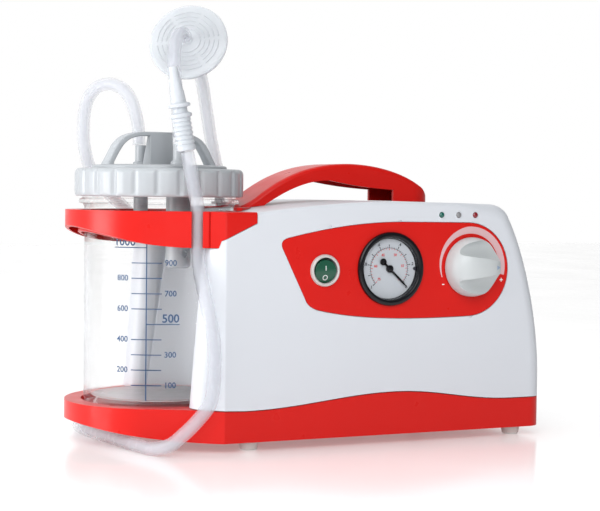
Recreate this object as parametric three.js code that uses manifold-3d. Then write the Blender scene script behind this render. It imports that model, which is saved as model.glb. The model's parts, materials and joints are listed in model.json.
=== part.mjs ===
// Portable suction pump: a wedge-ended white housing on a red base tray, with a red carry
// handle, a 1 litre collection jar in a red holder ring, a bacterial filter and silicone hoses.
// Millimetres. +X is the long way (the jar is at -X), the control panel faces -Y, +Z is up.
// The design below has the housing's middle at Y = 0. The finished group is moved back by MID_Y, so
// that the origin is at floor level under the middle of the object without its hoses.

import * as THREE from 'three';
import { mergeVertices } from 'three/addons/utils/BufferGeometryUtils.js';
import Module from 'manifold-3d';

const wasm = await Module();
wasm.setup();

// ---------------------------------------------------------------- driving dimensions

const WALL = 2.8;                 // moulded wall of the housing, tray and holder
const GAP = 0.3;                  // clearance between pieces that touch
const HALF_WIDTH = 90;            // front face is at -HALF_WIDTH
const KNOB_FRONT = -109.5;        // the control knob reaches farthest forward
const MID_Y = -(KNOB_FRONT + HALF_WIDTH) / 2;
const RIGHT_END = 178;
const BASE_Z = 7;                 // underside of the tray, above the feet
const TOP_Z = 180.3;              // highest line of the housing
const SHOULDER_Z = 172;           // top of the holder ring
const EDGE_ROUND = 8;             // rounded long edges of the housing

const JAR_X = -108;               // jar axis, on Y = 0
const JAR_R = 55.8;
const HOLDER_R = 70;              // outside of the holder ring and of the round platform
const BODY_CORNER_X = -90.6;      // where the flat front meets the line to the platform
const RING_BORE_R = 58;
const CRADLE_R = 60.5;            // hollow in the housing that the jar stands in
// The housing ends beside the jar in two rounded noses that lean away from it and widen upwards. Their
// places are measured along the slanted face, from where it touches the holder ring.
const NOSE = { floor: { along: 40.9, r: 11 }, high: { z: 150, along: 58.3, r: 17.8 } };
const CLIP = { along: 38, out: 64.4, r: 5.3, left: 34.1, right: 42.3 };   // keeps the patient hose
const WING_X = -66.9;             // right end of the holder, where the white housing starts

const PLATFORM_Z = 30.8;
const SEAT_Z = 26.8;              // floor of the jar's recess
const SEAT_R = 57.6;

const JAR_BOTTOM_Z = SEAT_Z + GAP;
const JAR_RIM_Z = 193.3;
const LID_TURN = 8.3;             // degrees that the lid's handle is turned from the long axis
const PORT_R = 29.6;              // the ports' distance from the jar's axis

const GAUGE = { x: 41, z: 130.5, r: 27.4 };
const SWITCH = { x: -13, z: 129.9, r: 11.8 };
const KNOB = { x: 110, z: 131.4, r: 22.5 };
const LED_X = [84.4, 99.2, 113.8];
const LED_Z = 170.7;
const INLET = { x: -43, y: 39 };

const HOSE_R = 5;                 // 6 x 10 mm silicone hose
const PUMP = { x: 48, y: 18, z: 66, throw: 4 };
const MOTOR_R = 26;

// ---------------------------------------------------------------- colours

function finish(color, roughness, metalness = 0) {
  return { color, roughness, metalness };
}

const RED = finish(0xd8141c, 0.32);
const WHITE = finish(0xe4e8ee, 0.38);
const LID_GREY = finish(0xd8dde2, 0.42);
const CLEAR = finish(0xe9eef2, 0.08);
const SILICONE = finish(0xe8e4e4, 0.35);
const BLACK = finish(0x151516, 0.3);
const DIAL_GREY = finish(0xd9dbd9, 0.6);
const KNOB_GREY = finish(0xcfd3d5, 0.4);
const RUBBER = finish(0xd2d2cf, 0.7);
const STEEL = finish(0xa9adb2, 0.35, 0.9);
const ALLOY = finish(0xb9bcc0, 0.45, 0.8);
const DARK_RUBBER = finish(0x222324, 0.75);

// ---------------------------------------------------------------- solids

function solid(geometry) {
  const bare = geometry.clone();
  bare.deleteAttribute('normal');
  bare.deleteAttribute('uv');
  const merged = mergeVertices(bare, 1e-4);
  return new wasm.Manifold(new wasm.Mesh({
    numProp: 3,
    vertProperties: new Float32Array(merged.attributes.position.array),
    triVerts: new Uint32Array(merged.index.array),
  }));
}

function geometryOf(body) {
  const mesh = body.getMesh();
  const geometry = new THREE.BufferGeometry();
  geometry.setAttribute('position', new THREE.BufferAttribute(new Float32Array(mesh.vertProperties), 3));
  geometry.setIndex(new THREE.BufferAttribute(new Uint32Array(mesh.triVerts), 1));
  geometry.computeVertexNormals();
  return geometry;
}

function joined(...parts) {
  return parts.reduce((whole, part) => whole.add(part));
}

// An outline in X and Y, raised from z0 to z1.
function plate(shape, z0, z1, curveSegments = 7) {
  const geometry = new THREE.ExtrudeGeometry(shape, { depth: z1 - z0, bevelEnabled: false, curveSegments });
  return solid(geometry.translate(0, 0, z0));
}

// An outline in X and Z, running from y0 to y1, with its two end edges rounded by round.
function slab(shape, y0, y1, round = 0, curveSegments = 6) {
  const geometry = new THREE.ExtrudeGeometry(shape, {
    depth: y1 - y0 - 2 * round,
    bevelEnabled: round > 0,
    bevelThickness: round,
    bevelSize: round,
    bevelOffset: -round,
    bevelSegments: 2,
    curveSegments,
  });
  return solid(geometry.rotateX(Math.PI / 2).translate(0, y1 - round, 0));
}

function box(x0, x1, y0, y1, z0, z1) {
  const geometry = new THREE.BoxGeometry(x1 - x0, y1 - y0, z1 - z0);
  return solid(geometry.translate((x0 + x1) / 2, (y0 + y1) / 2, (z0 + z1) / 2));
}

function points(pairs) {
  return pairs.map(([a, b]) => new THREE.Vector2(a, b));
}

// A profile of [radius, height] turned about the Y axis, listed in either direction.
function lathe(profile, segments) {
  const line = points(profile);
  if (THREE.ShapeUtils.area(line) < 0) {
    line.reverse();
  }
  return new THREE.LatheGeometry(line, segments);
}

// A profile of [radius, height] turned about the upright line through x, y.
function turned(profile, x = 0, y = 0, segments = 28) {
  return solid(lathe(profile, segments).rotateX(Math.PI / 2).translate(x, y, 0));
}

// A profile of [radius, y] turned about the line along Y through x, z.
function turnedAlongY(profile, x = 0, z = 0, segments = 28) {
  return solid(lathe(profile, segments).translate(x, 0, z));
}

// A profile of [radius, x] turned about the line along X through y, z.
function turnedAlongX(profile, y = 0, z = 0, segments = 28) {
  return solid(lathe(profile, segments).rotateZ(-Math.PI / 2).translate(0, y, z));
}

function rod(r, z0, z1, x = 0, y = 0, segments = 24) {
  return turned([[0, z0], [r, z0], [r, z1], [0, z1]], x, y, segments);
}

function rodAlongY(r, y0, y1, x = 0, z = 0, segments = 28) {
  return turnedAlongY([[0, y0], [r, y0], [r, y1], [0, y1]], x, z, segments);
}

function rodAlongX(r, x0, x1, y = 0, z = 0, segments = 28) {
  return turnedAlongX([[0, x0], [r, x0], [r, x1], [0, x1]], y, z, segments);
}

function outline(pairs) {
  return new THREE.Shape(points(pairs));
}

// A hose or cord: a round section swept along a smooth curve through the given points.
function hose(route, r, steps, sides = 8) {
  const curve = new THREE.CatmullRomCurve3(route.map((p) => new THREE.Vector3(...p)), false, 'centripetal');
  const section = new THREE.Shape();
  for (let i = 0; i < sides; i += 1) {
    const angle = (i / sides) * 2 * Math.PI;
    section[i === 0 ? 'moveTo' : 'lineTo'](r * Math.cos(angle), r * Math.sin(angle));
  }
  return new THREE.ExtrudeGeometry(section, { extrudePath: curve, steps, bevelEnabled: false });
}

// ---------------------------------------------------------------- assembly

const pump = new THREE.Group();

function add(name, shape, look, at = [0, 0, 0], into = pump) {
  const geometry = shape.isBufferGeometry ? shape : geometryOf(shape);
  const mesh = new THREE.Mesh(geometry, new THREE.MeshStandardMaterial(look));
  mesh.name = name;
  mesh.position.set(...at);
  into.add(mesh);
  return mesh;
}

// ---------------------------------------------------------------- shared outlines

// The slanted faces leave the round platform at this angle, seen from the jar's axis.
const TOUCH = Math.atan2(HALF_WIDTH, BODY_CORNER_X - JAR_X)
  + Math.acos(HOLDER_R / Math.hypot(HALF_WIDTH, BODY_CORNER_X - JAR_X));

// A place near a slanted face: out from the jar's axis at right angles to the face, and along it.
function beside(out, along, side = -1) {
  return [
    JAR_X + out * Math.cos(TOUCH) + along * Math.sin(TOUCH),
    side * (out * Math.sin(TOUCH) - along * Math.cos(TOUCH)),
  ];
}

// Plan of the whole object: the round platform joined by straight lines to the body's corners.
function planShape(inset = 0) {
  const r = HOLDER_R - inset;
  const half = HALF_WIDTH - inset;
  const corner = JAR_X + (r - half * Math.sin(TOUCH)) / Math.cos(TOUCH);
  const shape = new THREE.Shape();
  shape.moveTo(200, -half);
  shape.lineTo(200, half);
  shape.lineTo(corner, half);
  shape.lineTo(JAR_X + r * Math.cos(TOUCH), r * Math.sin(TOUCH));
  shape.absarc(JAR_X, 0, r, TOUCH, 2 * Math.PI - TOUCH, false);
  shape.lineTo(corner, -half);
  return shape;
}

// Front view of the body: a sloping right end, a gently falling top and a lower left shoulder.
function frontShape(inset = 0, bottom = -30) {
  const shape = new THREE.Shape();
  shape.moveTo(-200, bottom);
  shape.lineTo(RIGHT_END - inset, bottom);
  shape.lineTo(RIGHT_END - inset, 50);
  shape.bezierCurveTo(177 - inset, 90, 165 - inset, 140, 149 - inset, 169);
  shape.quadraticCurveTo(145 - inset, 178 - inset, 133 - inset, 179 - inset);
  shape.lineTo(60, TOP_Z - inset);
  shape.lineTo(30, TOP_Z - inset);
  shape.quadraticCurveTo(-10, 179 - inset, -64, SHOULDER_Z - inset);
  shape.lineTo(-200, SHOULDER_Z - inset);
  return shape;
}

// Everything under the line where the red tray ends and the white housing starts.
function underWave(rise) {
  const shape = new THREE.Shape();
  shape.moveTo(-220, -40);
  shape.lineTo(220, -40);
  shape.lineTo(220, 29.5 + rise);
  shape.lineTo(148, 29.5 + rise);
  shape.bezierCurveTo(110, 29.5 + rise, 85, 38.5 + rise, 48, 38.5 + rise);
  shape.bezierCurveTo(5, 38.5 + rise, -30, 29.3 + rise, -75, 29.3 + rise);
  shape.lineTo(-112, PLATFORM_Z + rise);
  shape.lineTo(-220, PLATFORM_Z + rise);
  return shape;
}

// Everything under the holder's lower edge, which sweeps down from the far left to the front.
function underHolder(rise) {
  const shape = new THREE.Shape();
  shape.moveTo(-220, -40);
  shape.lineTo(220, -40);
  shape.lineTo(220, 300);
  shape.lineTo(WING_X - rise, 300);
  shape.lineTo(WING_X - rise, 164.2 + rise);
  shape.lineTo(-93.6, 151.4 + rise);
  shape.lineTo(-95.3, 146.3 + rise);
  shape.lineTo(-113, 146.3 + rise);
  shape.quadraticCurveTo(-147, 146.3 + rise, -178, 160.5 + rise);
  shape.lineTo(-220, 176 + rise);
  return shape;
}

function bodyBlock(inset = 0) {
  const round = EDGE_ROUND - inset;
  const width = HALF_WIDTH - inset;
  return slab(frontShape(inset), -width, width, round).intersect(plate(planShape(inset), 0, 200));
}

function jarSpace(r) {
  return rod(r, -50, 300, JAR_X, 0, 48);
}

// The nose's middle and radius at a height.
function noseAt(z) {
  const share = z / NOSE.high.z;
  const r = THREE.MathUtils.lerp(NOSE.floor.r, NOSE.high.r, share);
  const [x, y] = beside(HOLDER_R - r, THREE.MathUtils.lerp(NOSE.floor.along, NOSE.high.along, share), 1);
  return { x, y, r };
}

function nose(side, inset) {
  const low = noseAt(-50);
  const middle = noseAt(100);
  const high = noseAt(250);
  const lean = new THREE.Matrix4().makeShear(0, 0, 0, 0, (high.x - low.x) / 300, side * (high.y - low.y) / 300);
  return solid(new THREE.CylinderGeometry(high.r - inset, low.r - inset, 300, 36)
    .rotateX(Math.PI / 2).applyMatrix4(lean).translate(middle.x, side * middle.y, 100));
}

// Everything to the right of a leaning plane that is at x0 on the floor and at x1 at the nose's high end.
function rightOf(x0, x1, y0, y1) {
  const slope = (x1 - x0) / NOSE.high.z;
  return slab(outline([[x0 - 50 * slope, -50], [220, -50], [220, 250], [x0 + 250 * slope, 250]]), y0, y1);
}

// The part of the plan that the housing fills, ending in the two noses.
function besideJar(inset = 0) {
  const outer = (z) => noseAt(z).x + (noseAt(z).r - inset) * Math.cos(TOUCH);
  const inner = (z) => {
    const { x, y } = noseAt(z);
    return JAR_X + ((CRADLE_R + inset) * (x - JAR_X)) / Math.hypot(x - JAR_X, y);
  };
  return joined(
    rightOf(inner(0), inner(NOSE.high.z), -80, 80),
    rightOf(outer(0), outer(NOSE.high.z), -120, -80),
    rightOf(outer(0), outer(NOSE.high.z), 80, 120),
    nose(-1, inset),
    nose(1, inset),
  );
}

const block = bodyBlock();
const blockInside = bodyBlock(WALL);

// ---------------------------------------------------------------- base tray

const SCREWS = [[-40, -82.5], [130, -82.5], [-40, 82.5], [130, 82.5]];
const SCREW_NAMES = ['front_left', 'front_right', 'rear_left', 'rear_right'];

function screwHoles() {
  return SCREWS.map(([x, y]) => turned(
    [[0, 0], [3.9, 0], [3.9, BASE_Z + 1.9], [1.9, BASE_Z + 1.9], [1.9, 60], [0, 60]], x, y, 16));
}

function platformUnderside() {
  const shape = new THREE.Shape();
  shape.moveTo(-220, -50);
  shape.lineTo(300, -50);
  shape.lineTo(300, BASE_Z);
  shape.lineTo(-95, BASE_Z);
  shape.quadraticCurveTo(-140, BASE_Z + 0.8, -178, 17.2);
  shape.lineTo(-220, 30);
  return shape;
}

function baseTray() {
  const filled = block.intersect(slab(underWave(0), -100, 100));
  const bodyPocket = blockInside
    .intersect(besideJar(WALL))
    .subtract(jarSpace(CRADLE_R + WALL))
    .intersect(box(-200, 300, -100, 100, BASE_Z + WALL, 100));
  const seat = rod(SEAT_R, SEAT_Z, 60, JAR_X, 0, 56);
  const underside = rod(HOLDER_R - WALL, -20, SEAT_Z - WALL, JAR_X, 0, 56)
    .subtract(box(-114, 0, -100, 100, -30, 60));
  return filled
    .subtract(slab(platformUnderside(), -100, 100))
    .subtract(bodyPocket)
    .subtract(seat)
    .subtract(underside)
    .subtract(joined(...screwHoles()));
}

add('base_tray', baseTray(), RED);

const FEET = { foot_front_left: [-66, -76], foot_front_right: [157, -76],
  foot_rear_left: [-66, 76], foot_rear_right: [157, 76] };
for (const [name, [x, y]] of Object.entries(FEET)) {
  const pad = turned([[0, 0], [5.2, 0], [6, 0.8], [7.6, BASE_Z - GAP], [0, BASE_Z - GAP]], 0, 0, 18);
  add(name, pad, RUBBER, [x, y, 0]);
}

SCREWS.forEach(([x, y], i) => {
  const screw = turned([[0, 0.5], [1.4, 0.3], [3.4, 0.3], [3.4, 1.6], [1.5, 1.6], [1.5, 24], [0, 25]], 0, 0, 10);
  add(`case_screw_${SCREW_NAMES[i]}`, screw, STEEL, [x, y, BASE_Z]);
});

// ---------------------------------------------------------------- white housing

const PANEL = { x: 108, z: 129.5, r: 35.4 };

// The red panel: a half circle round the knob, tapering to a rounded slanting left end.
function panelShape(grow = 0) {
  const r = PANEL.r + grow;
  const shape = new THREE.Shape();
  shape.moveTo(50, PANEL.z + r + 0.4);
  shape.lineTo(PANEL.x, PANEL.z + r);
  shape.absarc(PANEL.x, PANEL.z, r, Math.PI / 2, -Math.PI / 2, true);
  shape.bezierCurveTo(60, 92.6 - grow, 18, 93 - grow, -16.5, 100.6 - grow);
  shape.quadraticCurveTo(-23.5 - grow, 102 - grow, -27 - grow, 106.5);
  shape.lineTo(-46.4 - grow, 145.5);
  shape.quadraticCurveTo(-49.4 - grow, 151.5 + grow, -42.5, 153.4 + grow);
  shape.bezierCurveTo(-8, 161.5 + grow, 20, 165 + grow, 50, PANEL.z + r + 0.4);
  return shape;
}

function panelHoles() {
  return joined(
    rodAlongY(25.1, -110, -70, GAUGE.x, GAUGE.z, 40),
    rodAlongY(10.6, -110, -70, SWITCH.x, SWITCH.z, 28),
    rodAlongY(4.4, -110, -70, KNOB.x, KNOB.z, 20),
  );
}

function ledHoles() {
  return joined(...LED_X.map((x) => rodAlongY(2.6, -110, -80, x, LED_Z, 16)));
}

const VENT = { x0: 58, x1: 118, z0: 66, z1: 104 };
const SOCKET = { x: -8, z: 58, r: 7 };
const FUSE = { x: 20, z: 58, r: 6 };

function rearHoles() {
  return joined(
    box(VENT.x0, VENT.x1, 70, 110, VENT.z0, VENT.z1),
    rodAlongY(SOCKET.r + GAP, 70, 110, SOCKET.x, SOCKET.z, 24),
    rodAlongY(FUSE.r + GAP, 70, 110, FUSE.x, FUSE.z, 24),
  );
}

// Posts for the four case screws, tied to the front and back walls above the tray's edge.
function screwPosts() {
  return joined(...SCREWS.flatMap(([x, y]) => [
    rod(4.4, BASE_Z + WALL + GAP, 56, x, y, 16),
    box(x - 1.5, x + 1.5, Math.min(y, y * 1.07), Math.max(y, y * 1.07), 42, 56),
  ]));
}

function housingShell() {
  const skin = block
    .intersect(besideJar())
    .subtract(jarSpace(CRADLE_R));
  const hollow = blockInside
    .intersect(besideJar(WALL))
    .subtract(jarSpace(CRADLE_R + WALL));
  return skin
    .subtract(hollow)
    .subtract(slab(underWave(0.5), -100, 100))
    .add(screwPosts())
    .intersect(slab(underHolder(-GAP), -100, 100, 0, 16))
    .subtract(joined(...screwHoles()))
    .subtract(slab(panelShape(GAP), -100, -HALF_WIDTH + 1.5))
    .subtract(panelHoles())
    .subtract(ledHoles())
    .subtract(rearHoles())
    .subtract(rod(3.4, 160, 200, INLET.x, INLET.y, 20));
}

add('housing_shell', housingShell(), WHITE);

function controlPanel() {
  return slab(panelShape(), -HALF_WIDTH, -HALF_WIDTH + 1.2, 0, 10).subtract(panelHoles());
}

add('control_panel', controlPanel(), RED);

function ventGrille() {
  let grille = box(VENT.x0 + GAP, VENT.x1 - GAP, 86, 90, VENT.z0 + GAP, VENT.z1 - GAP);
  const slots = 6;
  const pitch = (VENT.z1 - VENT.z0 - 4) / slots;
  for (let i = 0; i < slots; i += 1) {
    const z = VENT.z0 + 3.4 + i * pitch;
    grille = grille.subtract(box(VENT.x0 + 4, VENT.x1 - 4, 80, 100, z, z + pitch - 2.4));
  }
  return grille;
}

add('rear_vent_grille', ventGrille(), WHITE);

add('power_socket', turnedAlongY([[0, 72], [5.6, 72], [5.6, 84], [SOCKET.r, 84], [SOCKET.r, 89.6],
  [3.2, 89.6], [3.2, 80], [0, 80]], SOCKET.x, SOCKET.z, 18), BLACK);
add('fuse_holder', turnedAlongY([[0, 66], [4.8, 66], [4.8, 84], [FUSE.r, 84], [FUSE.r, 88.6],
  [5, 89.6], [0, 89.6]], FUSE.x, FUSE.z, 18), BLACK);

// ---------------------------------------------------------------- holder ring and carry handle

// Open clip for the patient hose: a bore with a narrower mouth in the slanted face.
function clipSpace(grow = 0) {
  const mouth = [
    beside(CLIP.out, CLIP.left - grow), beside(90, CLIP.left - grow),
    beside(90, CLIP.right + grow), beside(CLIP.out, CLIP.right + grow),
  ];
  return rod(CLIP.r + grow, 100, 200, ...beside(CLIP.out, CLIP.along)).add(plate(outline(mouth), 100, 200));
}

function jarHolder() {
  const keep = box(-200, WING_X, -100, 100, 130, SHOULDER_Z);
  const outer = slab(frontShape(0), -HALF_WIDTH, HALF_WIDTH, 2)
    .intersect(plate(planShape(0), 0, 200, 20))
    .intersect(keep);
  const pocket = slab(frontShape(WALL), -HALF_WIDTH + WALL, HALF_WIDTH - WALL)
    .intersect(plate(planShape(WALL), 0, SHOULDER_Z - WALL))
    .intersect(box(-200, 0, -100, 100, 130, SHOULDER_Z - WALL))
    .subtract(jarSpace(CRADLE_R))
    .subtract(clipSpace(2.2));
  return outer
    .subtract(pocket)
    .subtract(slab(underHolder(0), -100, 100, 0, 16))
    .subtract(jarSpace(RING_BORE_R))
    .subtract(clipSpace());
}

add('jar_holder', jarHolder(), RED);

const HANDLE_HALF = 22;
const HANDLE_END_X = 96;         // middle of the arch's rounded right end
const LEG_X = 79.8;               // the leg under the right end is a channel, open from here

// Side view of the handle's arch; inset moves its top and its ends inwards for the hollow below.
function handleShape(inset = 0) {
  const shape = new THREE.Shape();
  shape.moveTo(-62 + inset, 140);
  shape.lineTo(-62 + inset, 172.9 - inset);
  shape.quadraticCurveTo(-48, 173.6 - inset, -33 + inset * 0.4, 185.4 - inset);
  shape.bezierCurveTo(-9, 202.5 - inset, 14, 209 - inset, 42, 209 - inset);
  shape.bezierCurveTo(75, 208.6 - inset, 106 - inset, 198 - inset, 118 - inset, 180);
  shape.lineTo(118 - inset, 140);
  return shape;
}

// The finger gap and the space between the housing's top and the arch.
function handleGap() {
  const shape = new THREE.Shape();
  shape.moveTo(-60, 140);
  shape.lineTo(-37.1, 172.6);
  shape.bezierCurveTo(-20, 183.6, 0, 196, 23.9, 195.8);
  shape.bezierCurveTo(45.7, 191.8, 58, 190.4, LEG_X, 189.1);
  shape.lineTo(LEG_X, 140);
  return shape;
}

function carryHandle() {
  const outer = slab(handleShape(), -HANDLE_HALF, HANDLE_HALF, 3.5, 14)
    .intersect(joined(
      box(-100, HANDLE_END_X, -40, 40, 100, 250),
      rod(HANDLE_HALF, 100, 250, HANDLE_END_X, 0, 32)));
  const inside = slab(handleShape(WALL), -HANDLE_HALF + WALL, HANDLE_HALF - WALL, 0, 14)
    .intersect(joined(
      box(-34, HANDLE_END_X, -40, 40, 100, 250),
      rod(HANDLE_HALF - WALL, 100, 250, HANDLE_END_X, 0, 32)));
  const bodyTop = slab(frontShape(-GAP), -100, 100, 0);
  const collar = rod(69, 160, 174.8, JAR_X, 0, 48).intersect(box(WING_X + GAP, 0, -52, 52, 160, 180));
  return outer
    .subtract(inside)
    .add(collar)
    .subtract(jarSpace(61.2))
    .subtract(slab(handleGap(), -50, 50, 0, 14))
    .subtract(bodyTop);
}

add('carry_handle', carryHandle(), RED);

add('inlet_nozzle', turned([[0, 168], [3.1, 168], [3.1, 176.6], [6.5, 176.6], [6.5, 178.4], [4.2, 178.4],
  [3.6, 184], [4.2, 184.6], [3.4, 188.8], [0, 188.8]], INLET.x, INLET.y, 16), LID_GREY);

// ---------------------------------------------------------------- controls on the panel

add('switch_bezel', turnedAlongY([[9.4, -92.2], [10.6, -92.8], [SWITCH.r, -91.6], [SWITCH.r, -90.3],
  [10.2, -90.3], [10.2, -74], [0, -74], [0, -76], [9.4, -76], [9.4, -92.2]], SWITCH.x, SWITCH.z, 28), KNOB_GREY);

// The rocker is a drum cut by two faces that meet in a shallow ridge; it rests with its lower half in.
const ROCKER_Y = -86;
const ROCKER_TILT = 9;

function switchRocker() {
  const drum = rodAlongY(8.5, -8, 0, 0, 0, 28);
  const side = outline([[1, -12], [1, 12], [-4.9, 8.6], [-6.2, 0], [-4.9, -8.6]]);
  const wedge = solid(new THREE.ExtrudeGeometry(side, { depth: 20, bevelEnabled: false })
    .translate(0, 0, -10).rotateY(Math.PI / 2).rotateX(Math.PI / 2));
  return drum.intersect(wedge);
}

const rocker = add('switch_rocker', switchRocker(), BLACK, [SWITCH.x, ROCKER_Y, SWITCH.z]);
rocker.rotation.x = THREE.MathUtils.degToRad(ROCKER_TILT);

add('gauge_case', turnedAlongY([[0, -50], [5, -50], [5, -62], [24.7, -62], [24.7, -90.3], [GAUGE.r, -90.3],
  [GAUGE.r, -92], [26, -93.2], [23.8, -93.2], [22.6, -92.4], [22.6, -87], [0, -87]],
  GAUGE.x, GAUGE.z, 36), BLACK);
add('gauge_dial', turnedAlongY([[0, -88.3], [22.3, -88.3], [22.3, -87.3], [0, -87.3]],
  GAUGE.x, GAUGE.z, 28), DIAL_GREY);
add('gauge_lens', turnedAlongY([[0, -92.2], [22.3, -92.2], [22.3, -91.2], [0, -91.2]],
  GAUGE.x, GAUGE.z, 28), CLEAR);

// Needle: hub, pointer and round tail; it rests at zero, at the lower right of the dial.
const NEEDLE_REST = -43;

function gaugeNeedle() {
  const hub = rodAlongY(2.4, -90.9, -88.7, 0, 0, 20);
  const pointer = slab(outline([[-6, -0.7], [15.5, -0.7], [20.4, 0], [15.5, 0.7], [-6, 0.7]]), -90.1, -89.5);
  const tail = rodAlongY(2, -90.1, -89.5, -7.6, 0, 16);
  return joined(hub, pointer, tail);
}

const needle = add('gauge_needle', gaugeNeedle(), BLACK, [GAUGE.x, 0, GAUGE.z]);
needle.rotation.y = THREE.MathUtils.degToRad(-NEEDLE_REST);

// Knob: a low dome with a hollow scooped from each side, leaving a pointer rib towards +X.
function regulatorKnob() {
  const dome = turnedAlongY([[0, -80], [3.9, -80], [3.9, -90.6], [KNOB.r, -90.6], [KNOB.r, -93], [21.6, -98],
    [19, -103.4], [13.6, -107.4], [6, -109.2], [0, KNOB_FRONT]], 0, 0, 32);
  const scoop = (side) => solid(new THREE.CylinderGeometry(24, 24, 44, 32)
    .rotateZ(Math.PI / 2)
    .rotateY(side * THREE.MathUtils.degToRad(7))
    .translate(4, -117.5, side * 29));
  return dome.subtract(scoop(1)).subtract(scoop(-1));
}

add('regulator_knob', regulatorKnob(), KNOB_GREY, [KNOB.x, 0, KNOB.z]);
add('regulator_valve', turnedAlongY([[4.3, -87], [11, -87], [11, -64], [7, -64], [7, -56], [0, -56],
  [0, -78], [4.3, -78], [4.3, -87]], KNOB.x, KNOB.z, 28), ALLOY);

['led_green', 'led_amber', 'led_red'].forEach((name, i) => {
  const colour = [0x065a50, 0x86868a, 0x6e141e][i];
  const lamp = turnedAlongY([[0, -91.2], [1.4, -90.8], [2.3, -89.6], [2.3, -82], [0, -82]], 0, 0, 16);
  add(name, lamp, finish(colour, 0.2), [LED_X[i], 0, LED_Z]);
});

// ---------------------------------------------------------------- collection jar and lid

const jarProfile = [[0, 31], [45, 31], [49, JAR_BOTTOM_Z], [54, JAR_BOTTOM_Z], [JAR_R, 29], [JAR_R, 173],
  [57.2, 176.4], [60, 177.2], [60, 179.8], [57.6, 180.4], [57.6, 184], [59.3, 185.2], [57.6, 186.4],
  [57.6, 188.6], [59.3, 189.8], [57.6, 191], [57.6, JAR_RIM_Z], [55.2, JAR_RIM_Z], [55.2, 180],
  [53.6, 176], [53.6, 37], [50, 33.6], [0, 33.6]];
add('collection_jar', turned(jarProfile, 0, 0, 40), CLEAR, [JAR_X, 0, 0]);

add('lid_gasket', turned([[55.4, 193.6], [57.4, 193.6], [57.4, 195.4], [55.4, 195.4], [55.4, 193.6]],
  0, 0, 32), DARK_RUBBER, [JAR_X, 0, 0]);

const lid = new THREE.Group();
lid.position.set(JAR_X, 0, 0);
lid.rotation.z = THREE.MathUtils.degToRad(LID_TURN);
pump.add(lid);

function lidArch() {
  const outer = new THREE.Shape();
  outer.moveTo(-47.5, 196);
  outer.lineTo(-47.5, 205);
  outer.bezierCurveTo(-38, 219, -40, 230.4, -10, 230.4);
  outer.lineTo(10, 230.4);
  outer.bezierCurveTo(40, 230.4, 38, 219, 47.5, 205);
  outer.lineTo(47.5, 196);
  const gap = new THREE.Shape();
  gap.moveTo(-39.5, 190);
  gap.lineTo(-39.5, 206.5);
  gap.bezierCurveTo(-31, 221, -30, 226.8, -11, 226.8);
  gap.lineTo(11, 226.8);
  gap.bezierCurveTo(30, 226.8, 31, 221, 39.5, 206.5);
  gap.lineTo(39.5, 190);
  const strap = slab(outer, -6, 6, 1.2)
    .subtract(slab(gap, -20, 20))
    .subtract(box(-60, 60, -20, 20, 180, 204));
  const webSide = outline([[-5, 204], [8, 204], [-2, 228], [-5, 228]]);
  const web = solid(new THREE.ExtrudeGeometry(webSide, { depth: 16.8, bevelEnabled: false })
    .rotateX(Math.PI / 2).rotateZ(Math.PI / 2).translate(-8.4, 0, 0));
  return strap.add(web);
}

// The lid plate under the screw ring: raised disc, arched grip, two ports and their inner tubes.
function lidPlate() {
  const disc = turned([[0, 203], [47.4, 203], [47.4, 198.4], [46, 195.8], [57.4, 195.8], [57.4, 197.8], [50.6, 197.8],
    [50.6, 203.6], [48.6, 205.2], [0, 206.4]], 0, 0, 36);
  const port = (y) => turned([[0, 204], [6.2, 204], [6.2, 207.6], [5.2, 208.4], [5, 213], [5, 221],
    [0, 221]], 0, y, 14);
  const patientTube = rod(5.5, 171, 205, 0, PORT_R, 14);
  const valveTube = turned([[9.2, 166], [9.2, 205], [0, 205], [0, 186], [7.6, 186], [7.6, 166], [9.2, 166]],
    0, -PORT_R, 18);
  return joined(disc, port(PORT_R), port(-PORT_R), patientTube, valveTube, lidArch());
}

add('lid_plate', lidPlate(), LID_GREY, [0, 0, 0], lid);

// Clear cage of the overflow valve, with round inlets near its foot.
function floatCage() {
  const cup = turned([[0, 129.8], [7.6, 129.8], [9.2, 131], [9.2, 165.6], [7.9, 165.6], [7.9, 132.4], [0, 132.4]],
    0, 0, 18);
  const holes = joined(rodAlongY(2.4, -20, 20, 0, 140, 14), rodAlongX(2.4, -20, 20, 0, 140, 14));
  return cup.subtract(holes);
}

add('float_cage', floatCage(), CLEAR, [0, -PORT_R, 0], lid);
add('valve_float', turned([[0, 133], [5, 133], [6.8, 135], [6.8, 146], [4, 149], [0, 150.4]], 0, 0, 16),
  SILICONE, [0, -PORT_R, 0], lid);

// Screw ring with broad lobes round its rim and a top flange that holds the lid plate down.
function lidRing() {
  const lobes = 24;
  const rim = [];
  for (let i = 0; i < lobes; i += 1) {
    const start = (i / lobes) * 2 * Math.PI;
    const step = (2 * Math.PI) / lobes;
    [[0, 61.4], [0.2, 62.9], [0.5, 63.2], [0.8, 62.9]].forEach(([share, r]) => {
      rim.push([r * Math.cos(start + share * step), r * Math.sin(start + share * step)]);
    });
  }
  const body = solid(new THREE.ExtrudeGeometry(outline(rim), {
    depth: 18.1, bevelEnabled: true, bevelThickness: 1.3, bevelSize: 1.1, bevelOffset: -1.1, bevelSegments: 1,
  }).translate(0, 0, 183.4));
  const bore = turned([[0, 170], [60, 170], [60, 198.2], [51, 198.2], [51, 220], [0, 220]], 0, 0, 36);
  return body.subtract(bore);
}

add('lid_ring', lidRing(), LID_GREY, [JAR_X, 0, 0]);

// ---------------------------------------------------------------- filter and hoses

const FILTER_AXIS = new THREE.Vector3(-0.534, -0.776, 0.335).normalize();
const FILTER_AT = [-85.5, 0.2, 298.5];
const NIPPLE = 10;                // from the filter's middle to the tip of each nipple

const filter = new THREE.Group();
filter.position.set(...FILTER_AT);
filter.quaternion.setFromUnitVectors(new THREE.Vector3(0, -1, 0), FILTER_AXIS);
pump.add(filter);

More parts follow.
